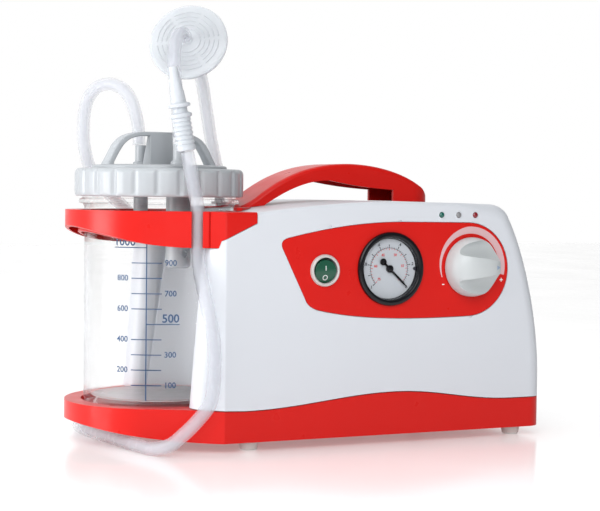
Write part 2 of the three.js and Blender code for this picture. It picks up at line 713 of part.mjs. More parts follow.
function filterHalf() {
  return turnedAlongY([[0, -NIPPLE], [3.4, -NIPPLE], [3.7, -4], [8, -3.6], [27, -2.6], [30, -1.6], [30, -0.2],
    [27.4, -0.2], [27.4, -0.9], [0, -0.9]], 0, 0, 28);
}

add('filter_front_shell', filterHalf(), CLEAR, [0, 0, 0], filter);
const rearHalf = add('filter_rear_shell', filterHalf(), CLEAR, [0, 0, 0], filter);
rearHalf.rotation.z = Math.PI;
add('filter_membrane', rodAlongY(27, -0.5, 0.5, 0, 0, 32), finish(0xf4f4f4, 0.8), [0, 0, 0], filter);

// Patient hose: from the rear port over a loop, down behind the housing, round the platform on the
// floor, up through the holder's clip and into the stepped connector.
const patientRoute = [
  [-114, 29, 221.4], [-114.3, 29.3, 230], [-115.2, 30.3, 239], [-116.8, 32.1, 248], [-119.7, 35.3, 257.5],
  [-124.5, 40.8, 265], [-131.3, 48.4, 268], [-138.3, 56.2, 266], [-143.5, 62, 258.5], [-146, 64.8, 248],
  [-146.6, 66, 236], [-146, 67, 224], [-143.7, 67.8, 213], [-139.7, 69.8, 203], [-133.5, 73.1, 194.5],
  [-126, 77, 187.5], [-117.2, 81.9, 181], [-108.1, 87.1, 175], [-99.5, 92.1, 168], [-90.6, 97, 159],
  [-84.4, 98, 148], [-80.6, 97.8, 135], [-79, 97, 119], [-78.6, 96.4, 98], [-78.6, 96.2, 66],
  [-78.7, 96.2, 42], [-79.8, 96.5, 29], [-84, 97, 17.6], [-91.6, 97.6, 9.4], [-101.6, 97.8, 5.7],
  [-113, 96.4, 5.3], [-125, 92.4, 5.3], [-136, 85, 5.3], [-145.2, 74, 5.3], [-151.6, 60, 5.3],
  [-155.2, 43, 5.3], [-156, 24, 5.3], [-153.8, 4, 5.3], [-151.2, -18, 5.3], [-148.6, -42, 5.3],
  [-145.6, -64, 5.3], [-140.6, -82, 5.5], [-132.4, -93, 9.4], [-123.8, -97.2, 17.4], [-113.6, -98, 27],
  [-104.3, -96.6, 38], [-102.4, -97.6, 52], [-101.7, -97, 66], [-101.8, -95.7, 80], [-103.2, -92.8, 94],
  [-105.2, -89.3, 108], [-106.9, -84.9, 122], [-107.4, -79, 136], [-106.3, -74.9, 146],
  [-106.3, -74.8, 153], [-106.3, -74.8, 162], [-106.3, -74.8, 171.5], [-107.9, -74.9, 180.5],
  [-110.6, -75, 192], [-112.9, -75, 203.5], [-115.4, -75, 214.5],
];
add('patient_hose', hose(patientRoute, HOSE_R, 100), SILICONE);

// Filter hose: up from the front port and over into the filter's front nipple.
const filterRoute = [
  [-103.73, -29.29, 221.4], [-104.2, -29.7, 233.9], [-105.5, -30.6, 245.4], [-107, -31.7, 256.4],
  [-108.5, -32.6, 267.5], [-109.6, -33, 279], [-109.4, -32.4, 285.8], [-108.1, -30.5, 292.3],
  [-105.9, -27.7, 297.2], [-103, -24, 300.9], [-99.5, -19.6, 303.2], [-95.4, -14, 303.7],
  [-91.4, -8.4, 302.2],
];
add('filter_hose', hose(filterRoute, HOSE_R, 14), SILICONE);

// Inlet hose: from the filter's rear nipple down to the pump's inlet.
const inletRoute = [
  [-79.95, 8.25, 295.0], [-75.2, 15, 291], [-69.6, 20.8, 283.5], [-64.6, 24.6, 271], [-60, 27.8, 253],
  [-54.4, 31.6, 230], [-48.4, 35.4, 210], [-44, 38.3, 197], [INLET.x, INLET.y, 189.8],
];
add('inlet_hose', hose(inletRoute, HOSE_R, 14), SILICONE);

// Stepped connector for the catheter, standing on the end of the patient hose.
const connectorStart = new THREE.Vector3(-115.7, -75, 215);
const connectorTip = new THREE.Vector3(-126.5, -75, 274);
const connectorAxis = connectorTip.clone().sub(connectorStart).normalize();
const connector = turned([[0, 0], [6.6, 0], [6.6, 23.2], [8, 24], [8, 26.4], [5.4, 27.2], [5.4, 30.4],
  [8, 31.2], [8, 33.4], [5.4, 34.2], [4.8, 43], [4.4, 43.6], [4, 52], [3.6, 52.6], [3.2, 60], [0, 60]], 0, 0, 14);
const connectorMesh = add('hose_connector', connector, LID_GREY, connectorStart.toArray());
connectorMesh.quaternion.setFromUnitVectors(new THREE.Vector3(0, 0, 1), connectorAxis);

// ---------------------------------------------------------------- pump inside the housing

const MOTOR_X0 = PUMP.x + 14;
const MOTOR_X1 = MOTOR_X0 + 72;
const CYLINDER_Z = PUMP.z + 38;

add('pump_motor', joined(
  rodAlongX(MOTOR_R, MOTOR_X0, MOTOR_X1, PUMP.y, PUMP.z, 28),
  rodAlongX(9, MOTOR_X1, MOTOR_X1 + 5, PUMP.y, PUMP.z, 20),
), STEEL);

function pumpFrame() {
  const x0 = PUMP.x - 20;
  const wall = box(MOTOR_X0 - 5, MOTOR_X0 - GAP, PUMP.y - 30, PUMP.y + 30, 12, CYLINDER_Z - GAP);
  const foot = box(x0, MOTOR_X0 + 60, PUMP.y - 32, PUMP.y + 32, 10.2, 14);
  const deck = box(x0, MOTOR_X0 - GAP, PUMP.y - 30, PUMP.y + 30, CYLINDER_Z - 5, CYLINDER_Z - GAP);
  return joined(wall, foot, deck)
    .subtract(rodAlongX(6, 0, 200, PUMP.y, PUMP.z, 20))
    .subtract(rod(21, CYLINDER_Z - 10, CYLINDER_Z + 5, PUMP.x - 1, PUMP.y, 28));
}

add('pump_frame', pumpFrame(), ALLOY);

// Crank: shaft stub, disc and an offset pin. The pin is straight above the shaft at rest.
const crank = joined(
  rodAlongX(3, PUMP.x + 6, MOTOR_X0 - GAP, PUMP.y, PUMP.z, 16),
  rodAlongX(15, PUMP.x + 5, PUMP.x + 8.6, PUMP.y, PUMP.z, 28),
  rodAlongX(3, PUMP.x - 6, PUMP.x + 6, PUMP.y, PUMP.z + PUMP.throw, 16),
);
add('pump_crank', crank, STEEL);

// Rod and piston in one: the big end turns on the crank pin, the disc works in the cylinder.
const PISTON_Z = CYLINDER_Z + 14;
function pumpRod() {
  const bigEnd = rodAlongX(8, PUMP.x - 5, PUMP.x + 4, PUMP.y, PUMP.z + PUMP.throw, 24);
  const stem = box(PUMP.x - 4, PUMP.x + 3, PUMP.y - 4, PUMP.y + 4, PUMP.z + PUMP.throw, PISTON_Z);
  const piston = rod(14, PISTON_Z - 4, PISTON_Z, PUMP.x - 1, PUMP.y, 28);
  return joined(bigEnd, stem, piston).subtract(rodAlongX(3.3, 0, 100, PUMP.y, PUMP.z + PUMP.throw, 16));
}

add('pump_piston_rod', pumpRod(), ALLOY);
add('pump_cylinder', turned([[18.6, CYLINDER_Z], [25, CYLINDER_Z], [25, CYLINDER_Z + 3], [22, CYLINDER_Z + 3],
  [22, CYLINDER_Z + 24], [18.6, CYLINDER_Z + 24], [18.6, CYLINDER_Z]], PUMP.x - 1, PUMP.y, 32), ALLOY);
add('pump_head', joined(
  rod(23, CYLINDER_Z + 24 + GAP, CYLINDER_Z + 36, PUMP.x - 1, PUMP.y, 32),
  rodAlongX(4, PUMP.x - 38, PUMP.x, PUMP.y + 8, CYLINDER_Z + 31, 16),
), ALLOY);

const BATTERY = { x0: -36, x1: 18, y0: -46, y1: -8, z0: 10.4, z1: 80 };
add('battery', box(BATTERY.x0, BATTERY.x1, BATTERY.y0, BATTERY.y1, BATTERY.z0, BATTERY.z1), DARK_RUBBER);
add('battery_strap', box(-14, -4, BATTERY.y0 - 3, BATTERY.y1 + 3, 10.2, BATTERY.z1 + 2)
  .subtract(box(-20, 0, BATTERY.y0 - GAP, BATTERY.y1 + GAP, 0, BATTERY.z1 + GAP)), STEEL);
add('circuit_board', box(70, 150, -52, -50.4, 40, 100).intersect(box(70, 148, -60, -40, 42, 100)),
  finish(0x1f6b3a, 0.5));

const gaugeLine = [[GAUGE.x, -49.6, GAUGE.z], [GAUGE.x, -36, GAUGE.z], [GAUGE.x - 6, -22, GAUGE.z + 3],
  [GAUGE.x - 16, -4, GAUGE.z + 4], [PUMP.x - 38.4 - 8, 12, CYLINDER_Z + 42], [-6, 33, 160]];
add('gauge_line', hose(gaugeLine, 2.5, 14), SILICONE);
const suctionLine = [[INLET.x, INLET.y, 167.6], [INLET.x, INLET.y - 0.5, 156], [-36, 34, 146], [-20, 29, 138],
  [0, 26.4, CYLINDER_Z + 31.4], [PUMP.x - 38.4, PUMP.y + 8, CYLINDER_Z + 31]];
add('suction_line', hose(suctionLine, 3.5, 14), SILICONE);

pump.position.y = MID_Y;
const part = new THREE.Group();
part.add(pump);
export default part;
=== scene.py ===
# Studio picture of the portable suction pump: looks, materials, light and camera around the CAD frame.
# Shapes are worked out in millimetres with the housing's middle at Y = 0, as in the CAD source, and are
# moved and scaled into the row frame when they are finished.

import json
import math

import bmesh
import bpy
from mathutils import Matrix, Vector
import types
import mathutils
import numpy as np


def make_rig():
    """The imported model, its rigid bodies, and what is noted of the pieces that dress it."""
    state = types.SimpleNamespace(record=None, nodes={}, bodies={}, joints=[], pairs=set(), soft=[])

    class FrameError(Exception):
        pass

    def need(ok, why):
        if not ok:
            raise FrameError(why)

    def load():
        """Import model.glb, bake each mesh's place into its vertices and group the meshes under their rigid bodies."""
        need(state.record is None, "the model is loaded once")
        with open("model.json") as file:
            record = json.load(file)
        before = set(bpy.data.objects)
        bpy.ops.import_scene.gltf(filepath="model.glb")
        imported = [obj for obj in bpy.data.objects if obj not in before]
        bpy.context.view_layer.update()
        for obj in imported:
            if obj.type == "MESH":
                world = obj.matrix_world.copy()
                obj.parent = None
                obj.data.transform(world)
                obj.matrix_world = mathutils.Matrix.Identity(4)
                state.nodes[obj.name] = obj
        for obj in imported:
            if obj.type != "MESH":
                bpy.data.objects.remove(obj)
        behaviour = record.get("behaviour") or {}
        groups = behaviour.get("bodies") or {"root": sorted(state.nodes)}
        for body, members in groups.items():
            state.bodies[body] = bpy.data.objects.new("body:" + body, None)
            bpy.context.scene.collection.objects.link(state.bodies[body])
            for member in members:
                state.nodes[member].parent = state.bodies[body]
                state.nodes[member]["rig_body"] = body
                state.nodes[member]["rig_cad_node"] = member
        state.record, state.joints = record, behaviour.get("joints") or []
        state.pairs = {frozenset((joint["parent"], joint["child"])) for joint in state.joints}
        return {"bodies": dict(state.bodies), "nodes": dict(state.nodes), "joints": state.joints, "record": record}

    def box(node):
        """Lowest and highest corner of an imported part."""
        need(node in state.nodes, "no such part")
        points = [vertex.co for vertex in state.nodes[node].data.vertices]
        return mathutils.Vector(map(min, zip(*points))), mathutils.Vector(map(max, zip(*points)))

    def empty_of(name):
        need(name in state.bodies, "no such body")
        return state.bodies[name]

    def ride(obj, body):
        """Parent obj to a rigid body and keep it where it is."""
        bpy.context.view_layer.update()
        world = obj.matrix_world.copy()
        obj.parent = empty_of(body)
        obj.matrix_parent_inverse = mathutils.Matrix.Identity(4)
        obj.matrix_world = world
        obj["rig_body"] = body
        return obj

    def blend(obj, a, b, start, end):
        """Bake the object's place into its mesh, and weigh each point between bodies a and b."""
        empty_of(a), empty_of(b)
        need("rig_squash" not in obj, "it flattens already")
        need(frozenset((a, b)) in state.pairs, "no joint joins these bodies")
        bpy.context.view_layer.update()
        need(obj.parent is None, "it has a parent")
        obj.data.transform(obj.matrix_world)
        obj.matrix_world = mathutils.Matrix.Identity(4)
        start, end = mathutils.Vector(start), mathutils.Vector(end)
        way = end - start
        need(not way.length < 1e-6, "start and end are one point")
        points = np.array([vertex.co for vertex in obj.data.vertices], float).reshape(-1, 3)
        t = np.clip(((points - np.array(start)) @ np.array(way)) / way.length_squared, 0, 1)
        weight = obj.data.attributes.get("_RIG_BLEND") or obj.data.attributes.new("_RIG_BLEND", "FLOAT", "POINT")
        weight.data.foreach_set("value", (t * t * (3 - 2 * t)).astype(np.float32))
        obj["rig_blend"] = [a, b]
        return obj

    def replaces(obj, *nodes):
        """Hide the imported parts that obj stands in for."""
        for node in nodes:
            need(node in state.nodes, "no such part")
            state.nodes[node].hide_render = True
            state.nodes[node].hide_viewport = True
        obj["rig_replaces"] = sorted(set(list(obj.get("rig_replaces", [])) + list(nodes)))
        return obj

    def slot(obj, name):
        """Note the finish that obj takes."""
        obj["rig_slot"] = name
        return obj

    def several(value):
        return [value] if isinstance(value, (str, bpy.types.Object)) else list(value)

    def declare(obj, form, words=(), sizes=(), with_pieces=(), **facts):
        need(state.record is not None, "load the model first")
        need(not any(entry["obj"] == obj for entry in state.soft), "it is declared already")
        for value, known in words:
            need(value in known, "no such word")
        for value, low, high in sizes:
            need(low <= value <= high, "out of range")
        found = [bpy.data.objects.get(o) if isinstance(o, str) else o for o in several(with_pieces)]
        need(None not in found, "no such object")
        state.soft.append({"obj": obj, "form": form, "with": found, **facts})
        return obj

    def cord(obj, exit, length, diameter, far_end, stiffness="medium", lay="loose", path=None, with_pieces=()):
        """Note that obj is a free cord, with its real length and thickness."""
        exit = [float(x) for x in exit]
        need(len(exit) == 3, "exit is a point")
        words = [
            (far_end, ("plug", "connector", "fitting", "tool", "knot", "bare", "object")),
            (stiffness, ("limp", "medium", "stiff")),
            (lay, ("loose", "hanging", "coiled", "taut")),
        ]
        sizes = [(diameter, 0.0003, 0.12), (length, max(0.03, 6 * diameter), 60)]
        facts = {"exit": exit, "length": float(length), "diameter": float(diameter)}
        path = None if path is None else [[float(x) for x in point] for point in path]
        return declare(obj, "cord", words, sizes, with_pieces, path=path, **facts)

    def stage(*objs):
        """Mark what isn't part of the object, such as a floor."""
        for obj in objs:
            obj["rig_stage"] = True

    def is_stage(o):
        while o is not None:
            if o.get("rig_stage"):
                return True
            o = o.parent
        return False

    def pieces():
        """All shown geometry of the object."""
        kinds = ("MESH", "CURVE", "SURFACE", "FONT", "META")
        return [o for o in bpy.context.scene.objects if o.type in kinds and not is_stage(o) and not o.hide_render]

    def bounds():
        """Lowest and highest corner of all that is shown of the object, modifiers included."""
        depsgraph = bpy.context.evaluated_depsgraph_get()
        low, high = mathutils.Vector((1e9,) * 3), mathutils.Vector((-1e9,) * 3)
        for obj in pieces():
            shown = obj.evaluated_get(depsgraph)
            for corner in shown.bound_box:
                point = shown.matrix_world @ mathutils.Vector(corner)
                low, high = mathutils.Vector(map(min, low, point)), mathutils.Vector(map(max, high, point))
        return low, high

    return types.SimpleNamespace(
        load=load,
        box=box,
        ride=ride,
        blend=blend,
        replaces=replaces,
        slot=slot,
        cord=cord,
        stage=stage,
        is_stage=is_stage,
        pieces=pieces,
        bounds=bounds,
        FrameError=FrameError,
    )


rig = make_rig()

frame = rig.load()
cad_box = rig.bounds()

MID_Y = 9.75
TO_ROW = Matrix.Scale(0.001, 4) @ Matrix.Translation((0, MID_Y, 0))

# ---- driving sizes, as in the CAD

HALF = 90
RIGHT_END = 178
BASE_Z = 7
TOP_Z = 180.3
SHOULDER_Z = 172
WALL = 2.8
JAR_X = -108
JAR_R = 55.8
HOLDER_R = 70
CORNER_X = -90.6
RING_BORE_R = 58
CRADLE_R = 60.5
WING_X = -66.9
PLATFORM_Z = 30.8
SEAT_Z = 26.8
HANDLE_HALF = 22
LID_TURN = 8.3
PORT_R = 29.6
GAUGE = (41, 130.5)
SWITCH = (-13, 129.9)
KNOB = (110, 131.4)
LEDS = {"led_green": 84.4, "led_amber": 99.2, "led_red": 113.8}
LED_Z = 170.7
HOSE_R = 5
BORE_R = 3.1


def row(x, y, z):
    return TO_ROW @ Vector((x, y, z))


def show(name, data):
    """A new object in the scene around a mesh, curve, light or camera."""
    made = bpy.data.objects.new(name, data)
    bpy.context.scene.collection.objects.link(made)
    return made


# ---- camera

CAMERA_AT = (-539.36, -1162.08, 188.34)
CAMERA_TURNS = (25.28, 2.29, 0.67)  # degrees: round the object, downwards, and tilted
CAMERA_LENS = 98.56


def camera():
    azimuth, pitch, roll = (math.radians(a) for a in CAMERA_TURNS)
    level = Vector((math.cos(azimuth), -math.sin(azimuth), 0))
    forward = Vector((math.sin(azimuth), math.cos(azimuth), 0)) * math.cos(pitch)
    forward.z = -math.sin(pitch)
    upright = level.cross(forward)
    right = level * math.cos(roll) + upright * math.sin(roll)
    up = upright * math.cos(roll) - level * math.sin(roll)
    data = bpy.data.cameras.new("camera")
    data.lens = CAMERA_LENS
    data.sensor_width = 36
    data.clip_start = 0.05
    made = show("camera", data)
    turn = Matrix((right, up, -forward)).transposed().to_4x4()
    made.matrix_world = Matrix.Translation(row(*CAMERA_AT)) @ turn
    bpy.context.scene.camera = made


camera()

# ---- materials

def smooth_range(tree, value, spans):
    """A smooth step: spans gives the low and high of what comes in, then of what goes out."""
    node = tree.nodes.new("ShaderNodeMapRange")
    node.interpolation_type = "SMOOTHSTEP"
    for socket, number in zip(list(node.inputs)[1:5], spans):
        socket.default_value = number
    tree.links.new(value, node.inputs["Value"])
    return node.outputs["Result"]


class Nodes:
    """A material's node tree, with short calls to add and link nodes."""

    def __init__(self, name):
        self.material = bpy.data.materials.new(name)
        self.material.use_nodes = True
        self.tree = self.material.node_tree
        self.shader = self.tree.nodes["Principled BSDF"]

    def add(self, kind, **inputs):
        node = self.tree.nodes.new(kind)
        for key, value in inputs.items():
            node.inputs[key.replace("_", " ")].default_value = value
        return node

    def link(self, source, target):
        self.tree.links.new(source, target)

    def drive(self, source, name):
        self.link(source, self.shader.inputs[name])

    def put(self, **inputs):
        for key, value in inputs.items():
            self.shader.inputs[key.replace("_", " ")].default_value = value

    def place(self):
        return self.add("ShaderNodeTexCoord").outputs["Object"]

    def noise(self, scale, detail=3.0):
        node = self.add("ShaderNodeTexNoise", Scale=scale, Detail=detail)
        self.link(self.place(), node.inputs["Vector"])
        return node.outputs["Fac"]

    def span(self, value, low, high, from_low=0.2, from_high=0.8):
        return smooth_range(self.tree, value, (from_low, from_high, low, high))

    def tint(self, amount, one, two):
        node = self.tree.nodes.new("ShaderNodeMix")
        node.data_type = "RGBA"
        node.inputs[6].default_value = (*one, 1)
        node.inputs[7].default_value = (*two, 1)
        self.link(amount, node.inputs[0])
        return node.outputs[2]

    def gloss(self, scale, low, high, detail=3.0):
        self.drive(self.span(self.noise(scale, detail), low, high), "Roughness")

    def bump(self, height, strength, distance, onto=None):
        node = self.add("ShaderNodeBump", Strength=strength, Distance=distance)
        self.link(height, node.inputs["Height"])
        if onto is not None:
            self.link(onto, node.inputs["Normal"])
        return node.outputs["Normal"]


def plastic(name, colour, rough=0.3, grain=1500.0, depth=0.00003, coat=0.0, shift=0.04, shine=0.5):
    """Moulded plastic: fine grain, a slow unevenness, and small changes of gloss and colour."""
    made = Nodes(name)
    darker = tuple(c * (1 - shift) for c in colour)
    made.drive(made.tint(made.span(made.noise(9.0), 0, 1), colour, darker), "Base Color")
    made.gloss(60.0, rough - 0.035, rough + 0.045, 5.0)
    slow = made.bump(made.noise(14.0, 1.0), 0.08, 0.0006)
    made.drive(made.bump(made.noise(grain, 2.0), 0.2, depth, slow), "Normal")
    made.put(Coat_Weight=coat, Coat_Roughness=0.08, Specular_IOR_Level=shine)
    return made.material


def clear(name, colour=(0.97, 0.98, 0.985), rough=0.01, ior=1.3, thin=0.1, edge=0.75):
    """Clear moulded plastic: nearly invisible seen straight on, firmer towards its edges."""
    made = Nodes(name)
    made.put(Base_Color=(*colour, 1), Transmission_Weight=1.0, IOR=ior)
    made.gloss(30.0, rough, rough + 0.03)
    made.drive(made.bump(made.noise(40.0, 2.0), 0.06, 0.0003), "Normal")
    slope = made.add("ShaderNodeLayerWeight", Blend=0.35)
    made.drive(made.span(slope.outputs["Facing"], thin, edge, 0.25, 1.0), "Alpha")
    return made.material


def milky(name, colour, through, rough=0.3, solid=1.0):
    """Translucent silicone or frosted plastic: cloudy, with a soft shine."""
    made = Nodes(name)
    cloud = made.span(made.noise(45.0, 4.0), 0, 1)
    made.drive(made.tint(cloud, colour, tuple(c * 0.96 for c in colour)), "Base Color")
    made.gloss(90.0, rough - 0.06, rough + 0.08)
    made.drive(made.bump(made.noise(300.0, 2.0), 0.08, 0.00003), "Normal")
    made.put(Transmission_Weight=through, IOR=1.41, Alpha=solid)
    made.put(Subsurface_Weight=0.35, Subsurface_Scale=0.004)
    made.shader.inputs["Subsurface Radius"].default_value = (1.0, 0.9, 0.95)
    return made.material


def metal(name, colour, rough=0.35):
    """Machined metal with fine turning marks."""
    made = Nodes(name)
    made.put(Metallic=1.0)
    streak = made.add("ShaderNodeMapping")
    streak.inputs["Scale"].default_value = (1, 30, 30)
    made.link(made.place(), streak.inputs["Vector"])
    marks = made.add("ShaderNodeTexNoise", Scale=90.0, Detail=4.0)
    made.link(streak.outputs["Vector"], marks.inputs["Vector"])
    value = marks.outputs["Fac"]
    made.drive(made.tint(made.span(value, 0, 1), colour, tuple(c * 0.85 for c in colour)), "Base Color")
    made.drive(made.span(value, rough - 0.1, rough + 0.1), "Roughness")
    made.drive(made.bump(value, 0.2, 0.00005), "Normal")
    return made.material


RED = plastic("red plastic", (0.60, 0.009, 0.006), 0.3, shine=0.25)
WHITE = plastic("white plastic", (0.62, 0.645, 0.69), 0.36, shift=0.02)
LID = plastic("lid grey plastic", (0.41, 0.435, 0.46), 0.34, shift=0.03)
KNOB_GREY = plastic("knob plastic", (0.52, 0.55, 0.56), 0.38)
BLACK = plastic("black plastic", (0.006, 0.006, 0.008), 0.16, coat=0.1, shine=0.3)
DIAL = plastic("dial enamel", (0.47, 0.50, 0.54), 0.55, shift=0.02)
GREEN = plastic("switch green", (0.0, 0.07, 0.035), 0.18, coat=0.3)
BEZEL = plastic("switch bezel", (0.52, 0.49, 0.48), 0.35)
RUBBER = plastic("foot rubber", (0.62, 0.62, 0.60), 0.7, grain=900.0, depth=0.00008)
DARK_RUBBER = plastic("dark rubber", (0.03, 0.03, 0.033), 0.7, grain=900.0, depth=0.00008)
CLEAR = clear("clear jar plastic", thin=0.05, edge=0.7)
# Pale milky material for a disc on the jar's floor: a painted reflection of the bright surroundings, not a finish of
# the jar.
JAR_BASE_PAINTED_REFLECTION = milky("jar base painted reflection", (0.90, 0.89, 0.92), 0.0, 0.12, 0.45)
LENS = clear("gauge lens", (0.98, 0.98, 0.98), 0.01, 1.12)
SILICONE = milky("milky silicone", (0.63, 0.655, 0.71), 0.0, 0.24, 0.27)
FROSTED = milky("frosted connector plastic", (0.54, 0.57, 0.61), 0.0, 0.32)
FILTER_CLEAR = milky("filter plastic", (0.76, 0.79, 0.83), 0.3, 0.16, 0.6)
MEMBRANE = plastic("filter membrane", (0.88, 0.88, 0.88), 0.85, grain=2500.0, depth=0.0001)
INK_BLUE = plastic("scale ink", (0.014, 0.065, 0.17), 0.5)
INK_BLACK = plastic("dial ink", (0.02, 0.022, 0.035), 0.5)
INK_RED = plastic("dial red ink", (0.62, 0.02, 0.02), 0.5)
INK_WHITE = plastic("white mark", (0.8, 0.8, 0.8), 0.5)
MARK_PINK = plastic("pale mark", (0.66, 0.42, 0.44), 0.45)
MARK_BLUE = plastic("knob arrow", (0.28, 0.38, 0.52), 0.45)
STEEL = metal("steel", (0.58, 0.59, 0.61))
ALLOY = metal("cast alloy", (0.66, 0.67, 0.69), 0.45)
BOARD = plastic("board lacquer", (0.02, 0.16, 0.06), 0.3)
LED_LOOKS = {
    "led_green": plastic("green lamp", (0.0, 0.10, 0.075), 0.12, coat=0.6),
    "led_amber": plastic("unlit lamp", (0.22, 0.22, 0.23), 0.12, coat=0.6),
    "led_red": plastic("red lamp", (0.22, 0.004, 0.012), 0.12, coat=0.6),
}

# ---- mesh helpers

def new_object(name, vertices, faces):
    mesh = bpy.data.meshes.new(name)
    mesh.from_pydata([tuple(v) for v in vertices], [], faces)
    bm = bmesh.new()
    bm.from_mesh(mesh)
    bmesh.ops.remove_doubles(bm, verts=bm.verts, dist=1e-5)
    bmesh.ops.recalc_face_normals(bm, faces=bm.faces)
    bm.to_mesh(mesh)
    bm.free()
    return show(name, mesh)


def settle(piece):
    """Applies the piece's modifiers to its mesh."""
    graph = bpy.context.evaluated_depsgraph_get()
    mesh = bpy.data.meshes.new_from_object(piece.evaluated_get(graph))
    piece.modifiers.clear()
    piece.data = mesh
    return piece


def combine(base, other, operation):
    modifier = base.modifiers.new("combine", "BOOLEAN")
    modifier.operation = operation
    modifier.solver = "EXACT"
    modifier.object = other
    settle(base)
    bpy.data.objects.remove(other)
    return base


def cut(base, *others):
    for other in others:
        combine(base, other, "DIFFERENCE")
    return base


def keep(base, other):
    return combine(base, other, "INTERSECT")


def weld(base, *others):
    for other in others:
        combine(base, other, "UNION")
    return base


def gather(*others):
    """Several meshes as one object, each still a closed shape of its own."""
    bm = bmesh.new()
    for other in others:
        other.data.transform(other.matrix_world)
        bm.from_mesh(other.data)
        bpy.data.objects.remove(other)
    mesh = bpy.data.meshes.new("gathered")
    bm.to_mesh(mesh)
    bm.free()
    return show("gathered", mesh)


def from_rings(rings, capped=True):
    """A surface through rings of the same number of points."""
    count = len(rings[0])
    vertices = [point for ring in rings for point in ring]
    faces = []
    for i in range(len(rings) - 1):
        for j in range(count):
            k = (j + 1) % count
            faces.append((i * count + j, i * count + k, (i + 1) * count + k, (i + 1) * count + j))
    if capped:
        faces.append(tuple(reversed(range(count))))
        faces.append(tuple((len(rings) - 1) * count + j for j in range(count)))
    return new_object("solid", vertices, faces)


def shrink(outline, inset):
    """A closed outline moved inwards by inset, whichever way round it is listed."""
    count = len(outline)
    area = sum(outline[i - 1][0] * outline[i][1] - outline[i][0] * outline[i - 1][1] for i in range(count))
    side = 1 if area > 0 else -1
    moved = []
    for i, (x, y) in enumerate(outline):
        before = Vector((x - outline[i - 1][0], y - outline[i - 1][1])).normalized()
        after = Vector((outline[(i + 1) % count][0] - x, outline[(i + 1) % count][1] - y)).normalized()
        inward = Vector((-before.y - after.y, before.x + after.x))
        share = max(0.3, 0.5 * inward.length)
        inward.normalize()
        moved.append((x + side * inward.x * inset / share, y + side * inward.y * inset / share))
    return moved


def rounded_levels(low, high, radius, steps):
    """Pairs of a level and an inset that round both ends of a solid."""
    if radius <= 0:
        return [(low, 0), (high, 0)]
    turn = [k * math.pi / 2 / steps for k in range(steps + 1)]
    ends = [(radius * (1 - math.cos(a)), radius * (1 - math.sin(a))) for a in turn]
    lower = [(low + depth, inset) for depth, inset in ends]
    return lower + [(high - depth, inset) for depth, inset in reversed(ends)]


def slab(outline, y0, y1, radius=0.0, steps=5):
    """An outline in X and Z, running from y0 to y1, with its end edges rounded."""
    rings = []
    for y, inset in rounded_levels(y0, y1, radius, steps):
        rings.append([(x, y, z) for x, z in shrink(outline, inset)])
    return from_rings(rings)


def eased(outline, y0, y1, radius_at, steps=8):
    """An outline in X and Z from y0 to y1, its end edges rounded by a radius that changes along it."""
    inner = shrink(outline, 1)
    rings = []
    for k in range(2 * steps + 2):
        turn = math.pi / 2 * min(k, 2 * steps + 1 - k) / steps
        ring = []
        for (x, z), (xi, zi) in zip(outline, inner):
            r = radius_at(x)
            inset, depth = r * (1 - math.sin(turn)), r * (1 - math.cos(turn))
            y = y0 + depth if k <= steps else y1 - depth
            ring.append((x + (xi - x) * inset, y, z + (zi - z) * inset))
        rings.append(ring)
    return from_rings(rings)


def plate(outline, z0, z1, radius=0.0, steps=4):
    """An outline in X and Y, raised from z0 to z1."""
    rings = []
    for z, inset in rounded_levels(z0, z1, radius, steps):
        rings.append([(x, y, z) for x, y in shrink(outline, inset)])
    return from_rings(rings)


def oblong(left, right, low, high):
    return [(left, low), (right, low), (right, high), (left, high)]


def box(x0, x1, y0, y1, z0, z1):
    return plate(oblong(x0, x1, y0, y1), z0, z1)


def turned(profile, at=(0, 0, 0), axis="Z", sides=96, lobe=None):
    """A profile of (radius, height) turned about Z, or about Y with the height along Y."""
    rings = []
    for r, h in profile:
        ring = []
        for k in range(sides):
            angle = 2 * math.pi * k / sides
            radius = r if lobe is None else lobe(r, h, angle)
            x, y = radius * math.cos(angle), radius * math.sin(angle)
            spot = (x, y, h) if axis == "Z" else (x, h, y)
            ring.append(tuple(a + b for a, b in zip(spot, at)))
        rings.append(ring)
    closed = profile[0] == profile[-1]
    return from_rings(rings, capped=not closed)


def rod(r, z0, z1, x=0, y=0, sides=48):
    return turned([(r, z0), (r, z1)], (x, y, 0), sides=sides)


def facing(profile, x=0, z=0, sides=96):
    """A turned part of the front, with its axis along Y at x and z."""
    return turned(profile, (x, 0, z), "Y", sides)


def rod_y(r, y0, y1, x=0, z=0, sides=48):
    return facing([(r, y0), (r, y1)], x, z, sides)


def bezier(a, b, c, d, steps=12):
    spots = []
    for k in range(1, steps + 1):
        t = k / steps
        s = 1 - t
        spots.append(tuple(s ** 3 * p + 3 * s * s * t * q + 3 * s * t * t * r + t ** 3 * u
                           for p, q, r, u in zip(a, b, c, d)))
    return spots


def quadratic(a, b, c, steps=8):
    one = tuple(p + (q - p) * 2 / 3 for p, q in zip(a, b))
    two = tuple(r + (q - r) * 2 / 3 for q, r in zip(b, c))
    return bezier(a, one, two, c, steps)


def arc(x, y, r, start, end, steps=24):
    angles = [math.radians(start + (end - start) * k / steps) for k in range(steps + 1)]
    return [(x + r * math.cos(a), y + r * math.sin(a)) for a in angles]


def soften(piece, width, segments=2, angle=35):
    """Rounds the sharp edges a little, as a moulding's are."""
    modifier = piece.modifiers.new("soften", "BEVEL")
    modifier.width = width
    modifier.segments = segments
    modifier.limit_method = "ANGLE"
    modifier.angle_limit = math.radians(angle)
    return settle(piece)


def shade(piece, angle=38):
    piece.data.shade_smooth()
    piece.data.set_sharp_from_angle(angle=math.radians(angle))
    modifier = piece.modifiers.new("normals", "WEIGHTED_NORMAL")
    modifier.keep_sharp = True
    return settle(piece)


def paint(piece, material):
    piece.data.materials.clear()
    piece.data.materials.append(material)


